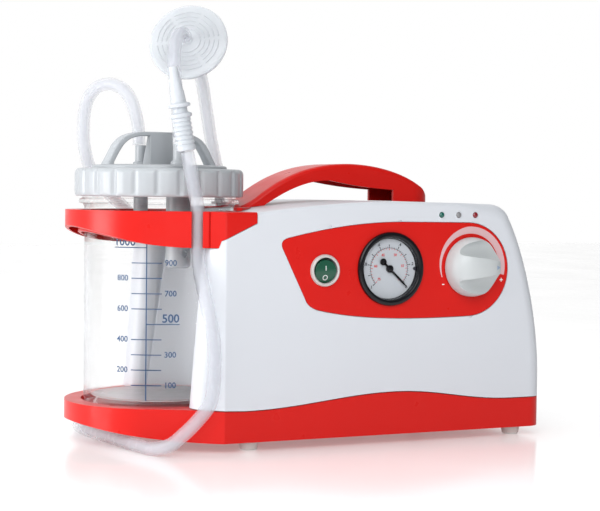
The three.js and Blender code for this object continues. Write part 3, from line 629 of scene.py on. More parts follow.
def place(piece, name, material, slot, body=None, instead=(), angle=38, turn=None):
    """Finishes a piece: shading, material, its place in the row frame and the body that it rides on."""
    shade(piece, angle)
    if turn is not None:
        piece.data.transform(turn)
    piece.data.transform(TO_ROW)
    piece.name = name
    piece.data.name = name
    paint(piece, material)
    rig.slot(piece, slot)
    if body is not None:
        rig.ride(piece, body)
    if instead:
        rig.replaces(piece, *instead)
    return piece


# ---- hoses

def between(a, b, low, high, t):
    """The point at t on the line that is at a when t is low, and at b when t is high."""
    return a * ((high - t) / (high - low)) + b * ((t - low) / (high - low))


def smooth_line(points, per_span=6):
    """A centripetal Catmull-Rom curve through the points."""
    spots = [Vector(p) for p in points]
    spots.insert(0, spots[0] * 2 - spots[1])
    spots.append(spots[-1] * 2 - spots[-2])
    line = []
    for i in range(1, len(spots) - 2):
        a, b, c, d = spots[i - 1:i + 3]
        t0 = 0
        t1 = math.sqrt((b - a).length)
        t2 = t1 + math.sqrt((c - b).length)
        t3 = t2 + math.sqrt((d - c).length)
        for k in range(per_span):
            t = t1 + (t2 - t1) * k / per_span
            p, q, r = between(a, b, t0, t1, t), between(b, c, t1, t2, t), between(c, d, t2, t3, t)
            u, v = between(p, q, t0, t2, t), between(q, r, t1, t3, t)
            line.append(between(u, v, t1, t2, t))
    line.append(spots[-2])
    return line


def hose(route, sides=24):
    """A hose with its bore, swept along the route, open at both ends."""
    line = smooth_line(route)
    ahead = (line[1] - line[0]).normalized()
    side = ahead.orthogonal().normalized()
    rings = []
    for r in (HOSE_R, BORE_R):
        layer = []
        across = side.copy()
        for i, spot in enumerate(line):
            along = (line[min(i + 1, len(line) - 1)] - line[max(i - 1, 0)]).normalized()
            across = (across - along * across.dot(along)).normalized()
            other = along.cross(across)
            angles = [2 * math.pi * k / sides for k in range(sides)]
            layer.append([spot + r * (across * math.cos(a) + other * math.sin(a)) for a in angles])
        rings += layer if r == HOSE_R else list(reversed(layer))
    rings.append(rings[0])
    made = from_rings(rings, capped=False)
    path = [tuple(row(*p)) for p in line]
    length = sum((line[i + 1] - line[i]).length for i in range(len(line) - 1)) / 1000
    return made, path, length


PATIENT_ROUTE = [
    (-114, 29, 221.4), (-114.3, 29.3, 230), (-115.2, 30.3, 239), (-116.8, 32.1, 248), (-119.7, 35.3, 257.5),
    (-124.5, 40.8, 265), (-131.3, 48.4, 268), (-138.3, 56.2, 266), (-143.5, 62, 258.5), (-146, 64.8, 248),
    (-146.6, 66, 236), (-146, 67, 224), (-143.7, 67.8, 213), (-139.7, 69.8, 203), (-133.5, 73.1, 194.5),
    (-126, 77, 187.5), (-117.2, 81.9, 181), (-108.1, 87.1, 175), (-99.5, 92.1, 168), (-90.6, 97, 159),
    (-84.4, 98, 148), (-80.6, 97.8, 135), (-79, 97, 119), (-78.6, 96.4, 98), (-78.6, 96.2, 66),
    (-78.7, 96.2, 42), (-79.8, 96.5, 29), (-84, 97, 17.6), (-91.6, 97.6, 9.4), (-101.6, 97.8, 5.7),
    (-113, 96.4, 5.3), (-125, 92.4, 5.3), (-136, 85, 5.3), (-145.2, 74, 5.3), (-151.6, 60, 5.3),
    (-155.2, 43, 5.3), (-156, 24, 5.3), (-153.8, 4, 5.3), (-151.2, -18, 5.3), (-148.6, -42, 5.3),
    (-145.6, -64, 5.3), (-140.6, -82, 5.5), (-132.4, -93, 9.4), (-123.8, -97.2, 17.4), (-113.6, -98, 27),
    (-104.3, -96.6, 38), (-102.4, -97.6, 52), (-101.7, -97, 66), (-101.8, -95.7, 80), (-103.2, -92.8, 94),
    (-105.2, -89.3, 108), (-106.9, -84.9, 122), (-107.4, -79, 136), (-106.3, -74.9, 146),
    (-106.3, -74.8, 153), (-106.3, -74.8, 162), (-106.3, -74.8, 171.5), (-107.9, -74.9, 180.5),
    (-110.6, -75, 192), (-112.9, -75, 203.5), (-115.4, -75, 214.5),
]
FILTER_ROUTE = [
    (-103.73, -29.29, 221.4), (-104.2, -29.7, 233.9), (-105.5, -30.6, 245.4), (-107, -31.7, 256.4),
    (-108.5, -32.6, 267.5), (-109.6, -33, 279), (-109.4, -32.4, 285.8), (-108.1, -30.5, 292.3),
    (-105.9, -27.7, 297.2), (-103, -24, 300.9), (-99.5, -19.6, 303.2), (-95.4, -14, 303.7),
    (-91.4, -8.4, 302.2),
]
INLET_ROUTE = [
    (-79.95, 8.25, 295.0), (-75.2, 15, 291), (-69.6, 20.8, 283.5), (-64.6, 24.6, 271), (-60, 27.8, 253),
    (-54.4, 31.6, 230), (-48.4, 35.4, 210), (-44, 38.3, 197), (-43, 39, 189.8),
]


def rubber_hoses():
    patient, path, length = hose(PATIENT_ROUTE)
    place(patient, "patient_hose_soft", SILICONE, "silicone", instead=["patient_hose"])
    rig.blend(patient, "housing", "jar", start=(-0.08, 0.1073, 0.0053), end=(-0.08, 0.1526, 0.0342))
    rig.cord(patient, exit=path[0], length=length, diameter=0.01, far_end="connector", stiffness="limp",
            lay="loose", path=path, with_pieces=[connector_piece])

    front, path, length = hose(FILTER_ROUTE)
    place(front, "filter_hose_soft", SILICONE, "silicone", "jar", ["filter_hose"])
    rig.cord(front, exit=path[0], length=length, diameter=0.01, far_end="object", stiffness="limp",
            lay="hanging", path=path)

    inlet, path, length = hose(INLET_ROUTE)
    place(inlet, "inlet_hose_soft", SILICONE, "silicone", instead=["inlet_hose"])
    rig.blend(inlet, "housing", "jar", start=(-0.06, 0.04, 0.192), end=(-0.06, 0.04, 0.211))
    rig.cord(inlet, exit=path[-1], length=length, diameter=0.01, far_end="object", stiffness="limp",
            lay="hanging", path=list(reversed(path)))


def hose_connector():
    """Stepped connector: ribbed grip, two flanges and a tapering nose."""
    start = Vector((-115.7, -75, 215))
    tip = Vector((-126.5, -75, 274))
    profile = [(3.4, 0.4), (5.6, 0), (6.5, 0.6), (6.7, 2)]
    for k in range(6):
        z = 4.2 + 3.2 * k
        profile += [(6.7, z - 0.7), (6.1, z), (6.1, z + 0.5), (6.7, z + 1.1)]
    profile += [(6.5, 22.8), (6.6, 23.4), (7.7, 24), (8, 25.2), (7.7, 26.4), (6.0, 26.9), (5.3, 27.6),
                (5.2, 30.2), (6.0, 30.9), (7.7, 31.2), (8.0, 32.3), (7.7, 33.4), (5.8, 33.9), (5.3, 34.6),
                (4.9, 42), (4.5, 42.8), (4.1, 51), (3.7, 51.8), (3.2, 59), (2.8, 59.9), (1.9, 60),
                (1.8, 52)]
    made = turned(profile, sides=64)
    direction = (tip - start).to_track_quat("Z", "Y").to_matrix().to_4x4()
    made.data.transform(Matrix.Translation(start) @ direction)
    return place(made, "connector_detail", FROSTED, "light_grey_plastic", "housing", ["hose_connector"], 30)


connector_piece = hose_connector()
rubber_hoses()

# ---- shared outlines

def front_outline(inset=0.0, bottom=-30):
    right, high, shoulder = RIGHT_END - inset, TOP_Z - inset, SHOULDER_Z - inset
    line = [(-200, bottom), (right, bottom), (right, 20), (right, 50)]
    line += bezier((right, 50), (177 - inset, 90), (165 - inset, 140), (149 - inset, 169), 20)
    line += quadratic((149 - inset, 169), (145 - inset, 178 - inset), (133 - inset, 179 - inset), 12)
    line += [(100, high - 0.5), (60, high), (30, high)]
    line += quadratic((30, high), (-10, 179 - inset), (-64, shoulder), 16)
    line += [(-130, shoulder), (-200, shoulder)]
    return line


def wave_line(rise):
    line = [(220, 29.5), (148, 29.5)]
    line += bezier(line[-1], (110, 29.5), (85, 38.5), (48, 38.5), 20)
    line += bezier(line[-1], (5, 38.5), (-30, 29.3), (-75, 29.3), 20)
    line += [(-112, PLATFORM_Z), (-220, PLATFORM_Z)]
    return [(x, z + rise) for x, z in line]


def under_wave(rise):
    return [(-220, -40), (220, -40)] + wave_line(rise)


def holder_line(rise):
    line = [(WING_X - rise, 300), (WING_X - rise, 164.2), (-93.6, 151.4), (-95.3, 146.3), (-113, 146.3)]
    line += quadratic(line[-1], (-147, 146.3), (-178, 160.5), 14)
    return [(x, z + rise) for x, z in line + [(-220, 176)]]


def under_holder(rise):
    return [(-220, -40), (220, -40), (220, 300)] + holder_line(rise)


TOUCH = math.atan2(HALF, CORNER_X - JAR_X) + math.acos(HOLDER_R / math.hypot(HALF, CORNER_X - JAR_X))


def beside(out, along, side=-1):
    """A place near a slanted face: out from the jar's axis at right angles to the face, and along it."""
    return (JAR_X + out * math.cos(TOUCH) + along * math.sin(TOUCH),
            side * (out * math.sin(TOUCH) - along * math.cos(TOUCH)))


def corner_at(inset):
    """Where the front face meets the slanting line to the platform."""
    return JAR_X + ((HOLDER_R - inset) - (HALF - inset) * math.sin(TOUCH)) / math.cos(TOUCH)


def fillet(before, corner, after, radius, steps=6):
    """A corner of an outline, rounded."""
    a, b, c = Vector(before), Vector(corner), Vector(after)
    to_a, to_c = (a - b).normalized(), (c - b).normalized()
    reach = radius / math.tan(to_a.angle(to_c) / 2)
    start, end = b + to_a * reach, b + to_c * reach
    return [tuple(start)] + quadratic(tuple(start), tuple(b), tuple(end), steps)


def plan_outline(inset=0.0, round_corner=5.0):
    r, half, corner = HOLDER_R - inset, HALF - inset, corner_at(inset)
    tangent = (JAR_X + r * math.cos(TOUCH), r * math.sin(TOUCH))
    upper = fillet((200, half), (corner, half), tangent, round_corner)
    lower = [(x, -y) for x, y in reversed(upper)]
    turn = math.degrees(TOUCH)
    return [(200, -half), (200, half)] + upper + arc(JAR_X, 0, r, turn, 360 - turn, 72) + lower


def nose_plan(z, inset):
    """Outline at height z of what the housing fills: it ends beside the jar in two rounded noses."""
    share = z / 150
    r = 11 + 6.8 * share
    x, y = beside(HOLDER_R - r, 40.9 + 17.4 * share, 1)
    upper = arc(x, y, r - inset, math.degrees(TOUCH), 280, 28)
    upper = [(230, 130), (upper[0][0], 130)] + upper
    return upper + [(a, -b) for a, b in reversed(upper)]


def between_noses(inset=0.0):
    """The noses lean away from the jar and widen upwards, and the jar's hollow runs between them."""
    rings = [[(x, y, z) for x, y in nose_plan(z, inset)] for z in (-60, 220)]
    return cut(from_rings(rings), rod(CRADLE_R + inset, -80, 260, JAR_X, 0, 128))


def panel_outline(grow=0.0):
    x, z, r = 108, 129.5, 35.4 + grow
    line = [(50, z + r + 0.4), (80, z + r + 0.2)]
    line += arc(x, z, r, 90, -90, 40)
    line += bezier(line[-1], (60, 92.6 - grow), (18, 93 - grow), (-16.5, 100.6 - grow), 24)
    line += quadratic(line[-1], (-23.5 - grow, 102 - grow), (-27 - grow, 106.5), 8)
    line.append((-46.4 - grow, 145.5))
    line += quadratic(line[-1], (-49.4 - grow, 151.5 + grow), (-42.5, 153.4 + grow), 8)
    line += bezier(line[-1], (-8, 161.5 + grow), (20, 165 + grow), (50, z + r + 0.4), 16)[:-1]
    return line


# ---- housing, tray and holder

FAR = 110  # for cutters, past the front and the rear
CLEARANCE = 0.35
SEAM = 0.6  # between the white housing and the red tray


def side_radius(x):
    """The front and rear edges are crisp along the top and well rounded down the right-hand end."""
    share = min(1, max(0, (x - 96) / 50))
    return 3 + 9.5 * share * share * (3 - 2 * share)


def case_blank(corner, inset=0.0, bottom=-30, steps=8):
    """The case as one block, its front and rear edges rounded, or the smaller block that hollows it."""
    front = eased(front_outline(inset, bottom), -HALF + inset, HALF - inset,
                  lambda x: side_radius(x) - min(inset, 2.3), steps)
    return keep(front, plate(plan_outline(inset, corner), -50, 220))


def control_holes():
    """Holes in the front for the gauge, the switch and the knob's stem."""
    return [rod_y(r, -FAR, -60, *at) for r, at in ((25.1, GAUGE), (10.6, SWITCH), (4.4, KNOB))]


def white_housing():
    made = keep(case_blank(4), between_noses())
    hollow = keep(case_blank(3, WALL, -60, 4), between_noses(WALL))
    cut(made, hollow, slab(under_wave(SEAM), -FAR, FAR))
    keep(made, slab(under_holder(-CLEARANCE), -FAR, FAR))
    cut(made, slab(panel_outline(CLEARANCE), -FAR, -HALF + 1.5), *control_holes())
    vent, inlet = box(58, 118, 70, FAR, 66, 104), rod(3.6, 160, 200, -43, 39)
    cut(made, vent, rod_y(7.3, 70, FAR, -8, 58), rod_y(6.3, 70, FAR, 20, 58), inlet)
    for x in LEDS.values():
        cut(made, rod_y(2.6, -FAR, -60, x, LED_Z, 24))
    for x, z in ((-9, 162), (49, 165.9), (57, 93.6), (111, 93.4)):
        cut(made, box(x - 1.3, x + 1.3, -FAR, -HALF + 0.9, z - 0.7, z + 0.7))
    soften(made, 0.35)
    place(made, "housing_moulding", WHITE, "white_plastic", "housing", ["housing_shell"], 30)


def red_tray():
    made = keep(case_blank(2), slab(under_wave(0), -FAR, FAR))
    underside = [(-220, -60), (300, -60), (300, BASE_Z), (-95, BASE_Z)]
    underside += quadratic((-95, BASE_Z), (-140, BASE_Z + 0.8), (-178, 17.2), 14) + [(-220, 30)]
    pocket = keep(case_blank(2, WALL, BASE_Z + WALL, 4), between_noses(WALL))
    below = cut(rod(HOLDER_R - WALL, -20, SEAT_Z - WALL, JAR_X, 0, 96), box(-114, 0, -100, 100, -30, 60))
    cut(made, slab(underside, -FAR, FAR), pocket, rod(57.6, SEAT_Z, 60, JAR_X, 0, 128), below)
    screw_hole = [(3.9, -5), (3.9, BASE_Z + 1.9), (1.9, BASE_Z + 1.9), (1.9, 30)]
    for x, y in ((-40, -82.5), (130, -82.5), (-40, 82.5), (130, 82.5)):
        cut(made, turned(screw_hole, (x, y, 0), sides=24))
    soften(made, 0.7)
    place(made, "tray_moulding", RED, "red_plastic", "housing", ["base_tray"], 30)


def clip_space(grow=0.0):
    """The clip for the patient hose: a bore with a narrower mouth in the slanted face."""
    x, y = beside(64.4, 38)
    mouth = [beside(*corner) for corner in oblong(64.4, 90, 34.1 - grow, 42.3 + grow)]
    return weld(rod(5.3 + grow, 60, 260, x, y, 64), plate(mouth, 60, 260))


def red_holder():
    made = keep(slab(front_outline(), -HALF, HALF, 1.6, 3), plate(plan_outline(), 130, 220))
    keep(made, box(-200, WING_X, -FAR, FAR, 100, 200))
    pocket = keep(slab(front_outline(WALL), -HALF + WALL, HALF - WALL), plate(plan_outline(WALL), 90, 200))
    keep(pocket, box(-200, 0, -FAR, FAR, 95, SHOULDER_Z - WALL))
    cut(pocket, rod(CRADLE_R, 0, 250, JAR_X, 0, 96), clip_space(2.2))
    groove = box(-101.7, -100.4, -FAR, -82.7, 100, 200)
    bore = rod(RING_BORE_R, 0, 250, JAR_X, 0, 128)
    cut(made, pocket, slab(under_holder(0), -FAR, FAR), bore, clip_space(), groove)
    soften(made, 0.6, 3)
    place(made, "holder_moulding", RED, "red_plastic", "housing", ["jar_holder"], 30)


def handle_outline(inset=0.0):
    line = [(-62 + inset, 140), (-62 + inset, 172.9 - inset)]
    line += quadratic(line[-1], (-48, 173.6 - inset), (-33 + inset * 0.4, 185.4 - inset), 12)
    line += bezier(line[-1], (-9, 202.5 - inset), (14, 209 - inset), (42, 209 - inset), 20)
    line += bezier(line[-1], (75, 208.6 - inset), (106 - inset, 198 - inset), (118 - inset, 180), 24)
    return line + [(118 - inset, 140)]


def handle_plan(left, half):
    return [(left, -half), (96, -half)] + arc(96, 0, half, -90, 90, 32) + [(left, half)]


def red_handle():
    gap = [(-60, 140), (-37.1, 172.6)]
    gap += bezier(gap[-1], (-20, 183.6), (0, 196), (23.9, 195.8), 18)
    gap += bezier(gap[-1], (45.7, 191.8), (58, 190.4), (79.8, 189.1), 14) + [(79.8, 140)]
    half, inner = HANDLE_HALF, HANDLE_HALF - WALL
    made = keep(slab(handle_outline(), -half, half, 3.6), plate(handle_plan(-100, half), 100, 250))
    hollow = keep(slab(handle_outline(WALL), -inner, inner), plate(handle_plan(-34, inner), 90, 250))
    collar = keep(rod(69, 160, 174.8, JAR_X, 0, 128), box(WING_X + 0.3, 0, -52, 52, 150, 190))
    cut(made, hollow, slab(gap, -60, 60))
    weld(made, collar)
    cut(made, slab(front_outline(-0.3), -FAR, FAR), rod(61.2, 100, 300, JAR_X, 0, 128))
    soften(made, 1.0, 3)
    place(made, "handle_moulding", RED, "red_plastic", "housing", ["carry_handle"], 30)


def red_panel():
    made = slab(panel_outline(), -HALF - 0.15, -HALF + 1.2, 0.5, 3)
    cut(made, *control_holes())
    place(made, "panel_moulding", RED, "red_plastic", "housing", ["control_panel"], 30)


white_housing()
red_tray()
red_holder()
red_handle()
red_panel()

# ---- jar, lid and filter

def clear_jar():
    profile = [(0.01, 31), (44.5, 31), (47.5, 29.4), (49.5, 27.3), (53.6, 27.1), (55.2, 27.8),
               (JAR_R, 29.4), (JAR_R, 172), (56.1, 174.6), (57.2, 176.4), (59.6, 176.9), (60, 177.4),
               (60, 179.5), (59.4, 180.1), (57.9, 180.5), (57.6, 181.2)]
    for z in (184, 188.6):
        profile += [(57.6, z), (59.2, z + 0.7), (59.2, z + 1.6), (57.6, z + 2.3)]
    profile += [(57.6, 193.1), (57.3, 193.4), (55.5, 193.4), (55.2, 193.1), (55.2, 180.4), (54.5, 177.6),
                (53.8, 175), (53.6, 172), (53.6, 38), (52.4, 35.2), (49.6, 33.6), (0.01, 33.4)]
    made = turned(profile, (JAR_X, 0, 0), sides=128)
    place(made, "jar_clear_wall", CLEAR, "clear_plastic", "jar", ["collection_jar"], 30)
    # A thin pale disc laid on the jar's floor: a painted reflection of the bright surroundings seen through the clear
    # base.
    sheet = [(0.01, 33.5), (49.6, 33.5), (49.8, 33.6), (49.6, 33.8), (0.01, 33.8)]
    place(turned(sheet, (JAR_X, 0, 0)), "jar_base_painted_reflection", JAR_BASE_PAINTED_REFLECTION, "clear_plastic", "jar")


def glyphs(text, size, thickness, align="CENTER", weight=0.0):
    """Plain digits as a thin solid in X and Y, for a scale."""
    curve = bpy.data.curves.new("digits", "FONT")
    curve.body = text
    curve.size = size
    curve.align_x = align
    curve.align_y = "CENTER"
    curve.extrude = thickness / 2
    curve.resolution_u = 3
    curve.offset = weight
    holder = show("digits", curve)
    graph = bpy.context.evaluated_depsgraph_get()
    mesh = bpy.data.meshes.new_from_object(holder.evaluated_get(graph))
    bpy.data.objects.remove(holder)
    return show("digits", mesh)


SCALE_AT = -119.3  # degrees round the jar from +X to the scale's upright line
SCALE_100_Z = 46.0
SCALE_STEP = 11.05


def jar_scale():
    """Printed 1 litre scale: an upright line, ticks and numbers that alternate left and right."""
    parts = []

    def stroke(u0, u1, z0, z1):
        steps = max(2, int((u1 - u0) / 2))
        rings = []
        for r in (JAR_R + 0.04, JAR_R + 0.16):
            lower = [(u0 + (u1 - u0) * k / steps, z0) for k in range(steps + 1)]
            upper = [(u, z1) for u, _ in reversed(lower)]
            rings.append([wrap(u, z, r) for u, z in lower + upper])
        parts.append(from_rings(rings))

    def wrap(u, z, r):
        angle = math.radians(SCALE_AT) + u / JAR_R
        return (JAR_X + r * math.cos(angle), r * math.sin(angle), z)

    def number(text, u, z, size, align):
        made = glyphs(text, size, 0.12, align, size * 0.016)
        for vertex in made.data.vertices:
            vertex.co = wrap(u + vertex.co.x, z + vertex.co.y, JAR_R + 0.1 + vertex.co.z)
        parts.append(made)

    stroke(-0.42, 0.42, 35, 150.5)
    for n in range(1, 11):
        z = SCALE_100_Z + (n - 1) * SCALE_STEP
        if n == 10:
            stroke(-25, 0, z - 0.35, z + 0.35)
            number("1000", -25.2, z + 4, 8.5, "LEFT")
        elif n == 5:
            stroke(0, 24.2, z - 0.35, z + 0.35)
            number("500", 24, z + 4, 8.5, "RIGHT")
        else:
            stroke(-11.1, 11.1, z - 0.35, z + 0.35)
            u, align = (13, "LEFT") if n % 2 else (-13.7, "RIGHT")
            number(str(n * 100), u, z, 5.9, align)
    place(gather(*parts), "jar_scale_print", INK_BLUE, "clear_plastic", "jar")


LID_MOVE = Matrix.Translation((JAR_X, 0, 0)) @ Matrix.Rotation(math.radians(LID_TURN), 4, "Z")


def lid_top():
    disc = turned([(0.01, 203), (46.4, 203), (47.4, 202), (47.4, 199), (46.6, 196.4), (57.2, 195.8),
                   (57.4, 196), (57.4, 197.6), (57.1, 197.8), (50.8, 197.9), (50.6, 203.4), (50.2, 204.6),
                   (49.2, 205.3), (40, 205.8), (0.01, 206.3)], sides=128)
    web = slab(oblong(-10.7, 8.7, 200, 230.1), -5.3, 8.6, 0.7, 3)
    for vertex in web.data.vertices:
        if vertex.co.y > 0:
            vertex.co.y -= (vertex.co.z - 203) * 0.36
    port = [(6.2, 204), (6.2, 207.4), (5.8, 208.1), (4.9, 208.5), (4.6, 209.4), (4.4, 220.5), (4.1, 221),
            (2.4, 221), (2.4, 213)]
    ports = [turned(port, (0, y, 0), sides=40) for y in (PORT_R, -PORT_R)]
    made = gather(disc, arch_strap(), web, *ports)
    place(made, "lid_top", LID, "light_grey_plastic", "jar", ["lid_plate"], 32, LID_MOVE)
    inlet = turned([(5.5, 203.2), (5.5, 171), (4.2, 171), (4.2, 200)], (0, PORT_R, 0), sides=40)
    outlet = turned([(9.2, 203.2), (9.2, 166), (7.6, 166), (7.6, 186)], (0, -PORT_R, 0), sides=48)
    place(gather(inlet, outlet), "lid_tubes", LID, "light_grey_plastic", "jar", turn=LID_MOVE)


def arch_strap():
    """Arched grip over the lid, a rounded strap that widens a little at its feet."""
    def arch(foot, knee, bend, crown):
        rise = [foot, knee, bend, crown]
        fall = [(-x, z) for x, z in reversed(rise)]
        start, end = (foot[0], 203), (-foot[0], 203)
        return [start] + bezier(*rise, 28) + [fall[0]] + bezier(*fall, 28) + [end]

    outer = arch((-47.5, 205), (-38, 219), (-40, 230.4), (-10, 230.4))
    inner = arch((-41, 206), (-32, 220.5), (-31, 227), (-11, 227))
    rings = []
    for (xo, zo), (xi, zi) in zip(outer, inner):
        mid = Vector(((xo + xi) / 2, 0, (zo + zi) / 2))
        half = Vector(((xo - xi) / 2, 0, (zo - zi) / 2))
        width = 5.3 + 0.9 * max(0, (212 - mid.z) / 8)
        ring = []
        for k in range(20):
            a = 2 * math.pi * k / 20
            c, s = math.cos(a), math.sin(a)
            ring.append(mid + half * math.copysign(abs(c) ** 0.45, c)
                        + Vector((0, width * math.copysign(abs(s) ** 0.45, s), 0)))
        rings.append(ring)
    return from_rings(rings)


def lid_screw_ring():
    """Screw ring with grips all round: narrow grooves between slightly swollen lobes."""
    lobes, low, high = 24, 183, 201.4

    def lobed(r, h, angle):
        if r < 61.5 or h < low or h > high:
            return r
        phase = ((angle - math.radians(LID_TURN)) * lobes / (2 * math.pi)) % 1
        edge = min(phase, 1 - phase)
        fade = min(1, (h - low) / 1.4, (high - h) / 1.4)
        groove = 1.75 * math.exp(-((edge / 0.12) ** 2))
        swell = 0.25 * math.cos(math.pi * (2 * edge - 1)) ** 2
        return r - fade * (groove - swell)

    profile = [(60, 182.4), (60.6, 182), (62, 182.1), (62.7, 182.8), (62.9, 184), (63, 185.6), (63, 191),
               (63, 196.8), (62.9, 199.2), (62.7, 200.4), (62.2, 201.4), (61, 202.5), (59.6, 202.8),
               (52, 202.8), (51.2, 202.4), (51, 201.8), (51, 198.4), (51.2, 198.2), (60, 198.2),
               (60, 182.4)]
    made = turned(profile, (JAR_X, 0, 0), sides=480, lobe=lobed)
    place(made, "lid_screw_ring", LID, "light_grey_plastic", "lid_ring", ["lid_ring"], 40)


def float_valve():
    cage = turned([(0.01, 129.8), (6.6, 129.8), (8.4, 130.4), (9.2, 132), (9.2, 165.6), (7.9, 165.6),
                   (7.9, 133), (7.2, 132.4), (0.01, 132.4)], (0, -PORT_R, 0), sides=64)
    cut(cage, rod_y(2.4, -60, 0, 0, 140, 24))
    place(cage, "float_cage_clear", FILTER_CLEAR, "clear_plastic", "jar", ["float_cage"], 30, LID_MOVE)
    ball = turned([(0.01, 133), (4.6, 133), (6.2, 134), (6.8, 135.4), (6.8, 145.6), (6, 147.4), (4, 149.2),
                   (0.01, 150.4)], (0, -PORT_R, 0), sides=48)
    place(ball, "float_plug", FILTER_CLEAR, "silicone", "float", ["valve_float"], 40, LID_MOVE)


FILTER_AXIS = Vector((-0.534, -0.776, 0.335)).normalized()
FILTER_AT = Vector((-85.5, 0.2, 298.5))


def filter_disc():
    turn = Vector((0, -1, 0)).rotation_difference(FILTER_AXIS).to_matrix().to_4x4()
    move = Matrix.Translation(FILTER_AT) @ turn
    profile = [(2.2, -6), (2.2, -9.6), (2.6, -10), (3.3, -10), (3.5, -8), (3.7, -4.4), (4.4, -3.8),
               (8, -3.5), (27, -2.6), (29.3, -1.9), (30, -1.2), (30, -0.4), (29.8, -0.15), (27.6, -0.15),
               (27.4, -0.8), (4, -1.2), (2.2, -1.4)]
    for name, flip in (("filter_front", 0), ("filter_rear", math.pi)):
        parts = [facing(profile)]
        for r in (9.5, 13, 16.5, 20, 23.5):
            for start in range(0, 360, 60):
                parts.append(rib(r, start + 4, start + 56))
        place(gather(*parts), name + "_plastic", FILTER_CLEAR, "clear_plastic", "jar", [name + "_shell"], 35,
              move @ Matrix.Rotation(flip, 4, "Z"))
    sheet = [(0.01, -0.5), (26.8, -0.5), (27, -0.4), (27, 0.4), (26.8, 0.5), (0.01, 0.5)]
    place(facing(sheet, sides=64), "filter_membrane_paper", MEMBRANE, "filter_paper", "jar",
          ["filter_membrane"], 30, move)


def rib(r, start, end):
    """A low curved rib on the filter's face."""
    rings = []
    for k in range(17):
        a = math.radians(start + (end - start) * k / 16)
        face = -3.5 + (r - 8) * 0.045
        foot, top = face + 0.3, face - 0.55
        section = [(r - 0.5, foot), (r - 0.35, top), (r + 0.35, top), (r + 0.5, foot)]
        rings.append([(q * math.cos(a), h, q * math.sin(a)) for q, h in section])
    return from_rings(rings)


clear_jar()
jar_scale()
lid_top()
lid_screw_ring()
float_valve()
filter_disc()

# ---- controls

def gauge():
    x, z = GAUGE
    bezel = facing([(0.01, -50), (5, -50), (5, -62), (24.6, -62), (24.6, -90.2), (26.9, -90.2),
                    (27.4, -90.7), (27.4, -91.8), (26.9, -92.7), (25.8, -93.2), (24.2, -93.2),
                    (23.4, -92.8), (22.7, -91.4), (22.6, -87), (0.01, -87)], x, z)
    place(bezel, "gauge_housing", BLACK, "black_plastic", "housing", ["gauge_case"], 30)
    dial = facing([(0.01, -88.3), (22.2, -88.3), (22.3, -88.2), (22.3, -87.3), (0.01, -87.3)], x, z)
    place(dial, "gauge_face", DIAL, "dial_face", "housing", ["gauge_dial"], 30)
    lens = facing([(0.01, -92.2), (22.2, -92.1), (22.3, -92), (22.3, -91.3), (0.01, -91.2)], x, z)
    place(lens, "gauge_window", LENS, "clear_plastic", "housing", ["gauge_lens"], 30)


def on_front(part, x, z, y):
    """Moves a flat piece made in X and Y onto a face that looks towards -Y."""
    part.data.transform(Matrix.Translation((x, y, z)) @ Matrix.Rotation(math.pi / 2, 4, "X"))
    return part


DIAL_ZERO = -43  # degrees: no suction, at the lower right
DIAL_SWEEP = 266
INK = 0.08
SIGN = 0.1


def scale_band(r0, r1, steps=90):
    outer = arc(0, 0, r1, DIAL_ZERO, DIAL_ZERO + DIAL_SWEEP, steps)
    inner = arc(0, 0, r0, DIAL_ZERO + DIAL_SWEEP, DIAL_ZERO, steps)
    return plate(outer + inner, 0, INK)


def ticks(turns, inner, outer, wide):
    """Radial strokes at the given turns; outer gives each one's reach from its place in the list."""
    made = []
    for k, turn in enumerate(turns):
        c, s = math.cos(turn), math.sin(turn)
        reach, w = outer(k), wide(k)
        corners = [(inner, -w), (inner, w), (reach, w), (reach, -w)]
        made.append(plate([(r * c + side * s, r * s - side * c) for r, side in corners], 0, INK))
    return made


def numbers(texts, turns, r, size, weight):
    made = []
    for text, turn in zip(texts, turns):
        digit = glyphs(text, size, 0.06, weight=weight)
        digit.data.transform(Matrix.Translation((r * math.cos(turn), r * math.sin(turn), 0.05)))
        made.append(digit)
    return made


def spread(count):
    """Evenly spaced turns over the dial's scale, in radians."""
    zero, sweep = math.radians(DIAL_ZERO), math.radians(DIAL_SWEEP)
    return [zero + sweep * k / (count - 1) for k in range(count)]


def dial_print():
    face = (*GAUGE, -88.32)
    black = [scale_band(15.35, 15.65)]
    black += ticks(spread(51), 15.5, lambda k: 16.6 if k % 5 else 17.4, lambda k: 0.1 if k % 5 else 0.24)
    for turn in spread(11):
        black.append(rod(0.45, 0, INK, 17.6 * math.cos(turn), 17.6 * math.sin(turn), 16))
    black += numbers(("0", ".2", ".4", ".6", ".8", "1"), spread(6), 19.8, 3.1, 0.09)
    black.append(rod(1.4, 0, 0.3, 21.7, 0, 32))
    red = ticks(spread(31), 15.3, lambda k: 14.5 if k % 5 else 13.7, lambda k: 0.2)
    red += numbers(("0", "15", "30", "45", "60", "75"), spread(6), 11.4, 2.7, 0.07)
    place(on_front(gather(*black), *face), "dial_black_print", INK_BLACK, "dial_face", "housing")
    place(on_front(gather(*red), *face), "dial_red_print", INK_RED, "dial_face", "housing")


def needle():
    hub = facing([(2.8, -88.7), (2.8, -90.3), (2.5, -90.7), (0.01, -90.9)], sides=32)
    outline = [(-6, -0.75), (15, -0.75), (20.4, -0.05), (20.4, 0.05), (15, 0.75), (-6, 0.75)]
    pointer = slab(outline, -90.1, -89.5)
    tail = rod_y(2.6, -90.1, -89.5, -7.6, 0, 32)
    made = gather(hub, pointer, tail)
    turn = Matrix.Translation((GAUGE[0], 0, GAUGE[1])) @ Matrix.Rotation(math.radians(-DIAL_ZERO), 4, "Y")
    place(made, "gauge_pointer", BLACK, "black_plastic", "needle", ["gauge_needle"], 30, turn)


